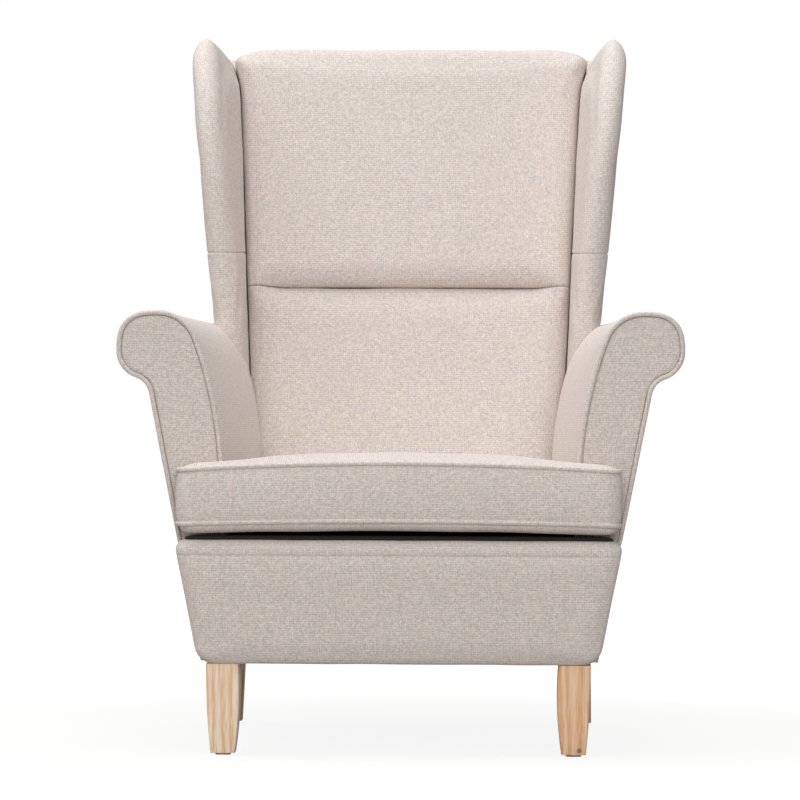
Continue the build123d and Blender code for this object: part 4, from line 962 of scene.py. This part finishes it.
def make_cushion():
    """The boxed cushion: a crowned top, full boxing between its pipings and a belly on the deck."""
    stations = []
    for z, inset in ((LOW_PIPING, 0.5), (LOW_PIPING + 25, -1.0), (LOW_PIPING + 40, -1.5),
                     (TOP_PIPING - 25, -1.0), (TOP_PIPING, 0.5)):
        stations.append([(x, y, z) for x, y in cushion_outline(inset, z)])
    piece = piece_from("seat_cushion", loft(stations), LINEN)
    grain = piece.modifiers.new("even", "REMESH")
    grain.mode = "VOXEL"
    grain.voxel_size = 5.5 * MM
    grain.use_smooth_shade = True
    apply_modifiers(piece)
    points = coordinates(piece) / MM
    outline = even(cushion_outline(CUSHION_WALL, TOP_PIPING), 500)
    gap = np.array([np.sqrt(np.min(np.sum((outline - p) ** 2, axis=1))) for p in points[:, :2]])
    roll = np.sqrt(1 - (1 - np.clip(gap / 40, 0, 1)) ** 2)
    dome = np.sin(np.clip(gap / 190, 0, 1) * math.pi / 2)
    fold = np.sqrt(1 - (1 - np.clip(gap / 20, 0, 1)) ** 2)
    upper = points[:, 2] > TOP_PIPING - 3
    lower = points[:, 2] < LOW_PIPING + 3
    points[upper, 2] += (9 * roll + 5 * dome)[upper]
    points[lower, 2] -= (14 * fold)[lower]
    set_coordinates(piece, points * MM)
    bm = bmesh.new()
    bm.from_mesh(piece.data)
    for turn in range(3):
        bmesh.ops.smooth_vert(bm, verts=bm.verts[:], factor=0.5,
                              use_axis_x=True, use_axis_y=True, use_axis_z=True)
    bm.to_mesh(piece.data)
    bm.free()
    seams = (to_piping(coordinates(piece)[:, 2] / MM) < 4) & (gap < 9)
    swell(piece, seams | (lower & (gap > 30)), 4.0)
    press(piece, lambda at: 0.4 * ripple(at, 50.0) - 2.2 * dip(to_piping(at[:, 2]), 5.0) * (gap < 12))
    set_coordinates(piece, cushion_arch(coordinates(piece) / MM) * MM)
    return subdivided(piece, 1)


def make_cushion_piping(name, z):
    """A piping round the cushion, sunk into its seam."""
    outline = cushion_outline(3.0, z)
    line = cushion_arch(np.array([(x, y, z) for x, y in even(outline, 420)]))
    return piping(name, line, True)


# Deck and dust cover

def make_deck():
    """The black-covered foam deck over the springs, with a flap over the front rail."""
    low, high = node_box("deck_cloth")
    base, top = node_box("deck_pad")[0][2], high[2]

    def ring(inset, z):
        wide, narrow = high[0] - inset, arm_inner(ARM_FOOT_Z, high[1]) - 2.0 - inset
        front, back = low[1] + inset, high[1] - inset
        corners = [(-wide, front), (wide, front), (narrow, back), (-narrow, back)]
        return [(x, y, z) for x, y in even(rounded(corners, [max(6, 20 - inset)] * 4), 160)]

    steps = ((1, base), (0, base + 2), (0, top - 5), (3, top - 3), (12, top - 1.2), (40, top))
    bm = loft([ring(inset, z) for inset, z in steps])

    front_low, front_high = APRON_LOW[1] + 15, ARM_FRONT_Y - 1.5
    reach, lip = front_half(APRON_HIGH[2]) - 14, APRON_HIGH[2] + 0.3

    def flap(inset, z):
        half, front, back = reach - inset, front_low + inset, front_high - inset
        corners = [(-half, front), (half, front), (half, back), (-half, back)]
        return [(x, y, z) for x, y in even(rounded(corners, [max(4, 12 - inset)] * 4), 120)]

    steps = ((0, 0), (0, 1.5), (1.5, 3.2), (6, 4.6), (16, 5.2))
    loft([flap(inset, lip + rise) for inset, rise in steps], bm=bm)
    return piece_from("deck", bm, BLACK)


def make_dust_cover():
    """The black cloth stapled under the seat frame, which sags a little in the middle."""
    low, high = node_box("dust_cover")
    front, rear = low[1], high[1]
    front_reach, rear_reach = side_half(low[2], front) - 11.0, side_half(low[2], rear) - 11.0
    corners = [(-front_reach, front), (front_reach, front), (rear_reach, rear), (-rear_reach, rear)]
    bm = bmesh.new()
    edges = draw_ring(bm, [(x, y, low[2] + 0.5) for x, y in corners])[1]
    bmesh.ops.contextual_create(bm, geom=edges)
    bmesh.ops.subdivide_edges(bm, edges=bm.edges[:], cuts=24, use_grid_fill=True)
    piece = piece_from("dust_cover_cloth", bm, BLACK)
    x, y, z = (coordinates(piece) / MM).T
    across, along = x / front_reach, (y - front) / (rear - front)
    sag = 0.4 * np.maximum(0, 1 - across ** 2) * np.sin(math.pi * along)
    set_coordinates(piece, np.column_stack((x, y, z - sag)) * MM)
    thick = piece.modifiers.new("cloth", "SOLIDIFY")
    thick.thickness = 0.6 * MM
    thick.offset = 0
    return piece


# Assembly

def settle(piece, body, slot, *stands_for, fill=None):
    """Says what a piece rides on and what it stands for; the fill it is given is not used."""
    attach(piece, body)
    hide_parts(*stands_for)


def settle_pair(piece, name, *kinds, fill=None):
    """Settles a right-hand piece of the upholstery and its mirror image."""
    other = mirrored(piece, "left_" + name)
    for side, made in (("right_", piece), ("left_", other)):
        settle(made, "chair", "upholstery", *[side + kind for kind in kinds], fill=fill)


settle_pair(make_arm(), "arm", "arm_cover", "arm_pad", fill=0.8)
settle_pair(make_facing(), "facing", "arm_facing", fill=0.5)
settle_pair(make_arm_piping(), "piping", "arm_piping")
settle_pair(make_outside_arm(), "outside_arm", "outside_arm_panel", fill=0.3)
settle_pair(make_wing(), "wing", "wing_cover", "wing_pad", fill=0.8)
settle(make_upper_back(), "chair", "upholstery", "upper_back_cover", "upper_back_pad", fill=0.7)
settle(make_lower_back(), "chair", "upholstery", "lower_back_cover", "lower_back_pad", fill=0.7)
settle(make_outside_back(), "chair", "upholstery", "outside_back_panel", fill=0.3)
settle(make_apron(), "chair", "upholstery", "apron_cover", "apron_pad", fill=0.6)
settle(make_cushion(), "seat_cushion", "upholstery", "cushion_cover", "cushion_core", fill=0.8)
for name, height, node in (("cushion_piping_top", TOP_PIPING, "cushion_top_piping"),
                           ("cushion_piping_low", LOW_PIPING, "cushion_bottom_piping")):
    settle(make_cushion_piping(name, height), "seat_cushion", "upholstery", node)
settle(make_deck(), "chair", "black_cloth", "deck_cloth", "deck_pad", fill=0.5)
DUST = make_dust_cover()
settle(DUST, "chair", "black_cloth", "dust_cover")

FINISHES = {
    "leg_wood": LEG_WOOD, "frame_wood": FRAME_WOOD, "steel": STEEL, "webbing": WEBBING,
    "glide": GLIDE, "zip_tape": ZIP_TAPE, "zip_metal": ZIP_METAL,
}
for row in frame["record"]["subparts"]:
    node = frame["nodes"][row["node"]]
    if row["material_slot"] in FINISHES:
        node.data.materials.clear()
        node.data.materials.append(FINISHES[row["material_slot"]])


# Stage

WORLD_LIGHT = 0.18
LAMP_AIM = Vector((0, 0, 0.55))
# Each lamp's place and width in metres, and its power in watts
LAMPS = [
    ("top", (0.0, -0.3, 4.6), 2.6, 100.0),
    ("front", (0.5, -4.9, 2.0), 2.6, 104.0),
    ("upper_left", (-2.4, -2.2, 4.2), 2.6, 30.0),
    ("left", (-3.4, -1.6, 2.4), 2.4, 14.0),
    ("back_left", (-2.6, 0.3, 4.0), 2.4, 50.0),
]


def make_floor():
    """A pale floor that keeps a soft shadow near the chair and is white further away."""
    bm = bmesh.new()
    bmesh.ops.create_grid(bm, x_segments=1, y_segments=1, size=14.0)
    paint, tree, shader = new_material("pale_floor")
    shader.inputs["Base Color"].default_value = hex_colour("#acaaa6")
    shader.inputs["Roughness"].default_value = 0.9
    seen = add(tree, "LightPath").outputs["Is Camera Ray"]
    place = add(tree, "TexCoord").outputs["Object"]
    away = add(tree, "VectorMath", {0: place}, operation="LENGTH").outputs["Value"]
    fade = {"Value": away, 1: 0.6, 2: 1.5, 3: 0.8, 4: 1.0}
    plain = add(tree, "MapRange", fade, interpolation_type="SMOOTHSTEP").outputs[0]
    glow = add(tree, "Emission", {"Color": (1, 1, 1, 1), "Strength": 1.12}).outputs[0]
    share = add(tree, "Math", {0: seen, 1: plain}, operation="MULTIPLY").outputs[0]
    mix = add(tree, "MixShader", {0: share, 1: shader.outputs[0], 2: glow}).outputs[0]
    tree.links.new(mix, tree.nodes["Material Output"].inputs["Surface"])
    piece_from("floor", bm, paint, False)


def make_surroundings():
    """White to the camera and in reflections, and a low even light on the chair."""
    world = bpy.data.worlds.new("studio")
    bpy.context.scene.world = world
    world.use_nodes = True
    tree = world.node_tree
    seen = add(tree, "LightPath").outputs
    plain = seen["Is Camera Ray"]
    for ray in ("Is Glossy Ray", "Is Transmission Ray"):
        plain = add(tree, "Math", {0: plain, 1: seen[ray]}, operation="MAXIMUM").outputs[0]
    levels = {0: plain, 1: 1 - WORLD_LIGHT, 2: WORLD_LIGHT}
    strength = add(tree, "Math", levels, operation="MULTIPLY_ADD").outputs[0]
    tree.links.new(strength, tree.nodes["Background"].inputs["Strength"])
    tree.nodes["Background"].inputs["Color"].default_value = (1, 1, 1, 1)


def make_lamps():
    """Soft studio lamps, all turned to the chair."""
    for name, place, size, power in LAMPS:
        lamp = bpy.data.lights.new(name, "AREA")
        lamp.shape = "DISK"
        lamp.size = size
        lamp.energy = power
        made = bpy.data.objects.new(name, lamp)
        made.location = place
        made.rotation_euler = (LAMP_AIM - Vector(place)).to_track_quat("-Z", "Y").to_euler()
        bpy.context.scene.collection.objects.link(made)


CAMERA_PLACE = Vector((0.112, -5.345, 0.44))
CAMERA_YAW = math.atan2(0.112, 5.0)
CAMERA_ROLL = math.radians(0.25)
FRAME_PX, FOCAL_PX, HORIZON_PX = 800, 3555, 40.6
SENSOR_MM = 36.0


def make_camera():
    """The photograph's view: straight in front, a little to the right, at arm height, with a long lens."""
    lens = bpy.data.cameras.new("camera")
    lens.sensor_width = SENSOR_MM
    lens.lens = SENSOR_MM * FOCAL_PX / FRAME_PX
    camera = bpy.data.objects.new("camera", lens)
    yaw = Matrix.Rotation(CAMERA_YAW, 4, "Z")
    pitch = Matrix.Rotation(math.pi / 2 + math.atan2(HORIZON_PX, FOCAL_PX), 4, "X")
    roll = Matrix.Rotation(CAMERA_ROLL, 4, "Z")
    camera.matrix_world = Matrix.Translation(CAMERA_PLACE) @ yaw @ pitch @ roll
    bpy.context.scene.collection.objects.link(camera)
    bpy.context.scene.camera = camera


make_floor()
make_surroundings()
make_lamps()
make_camera()
bpy.context.scene.view_settings.view_transform = "Standard"
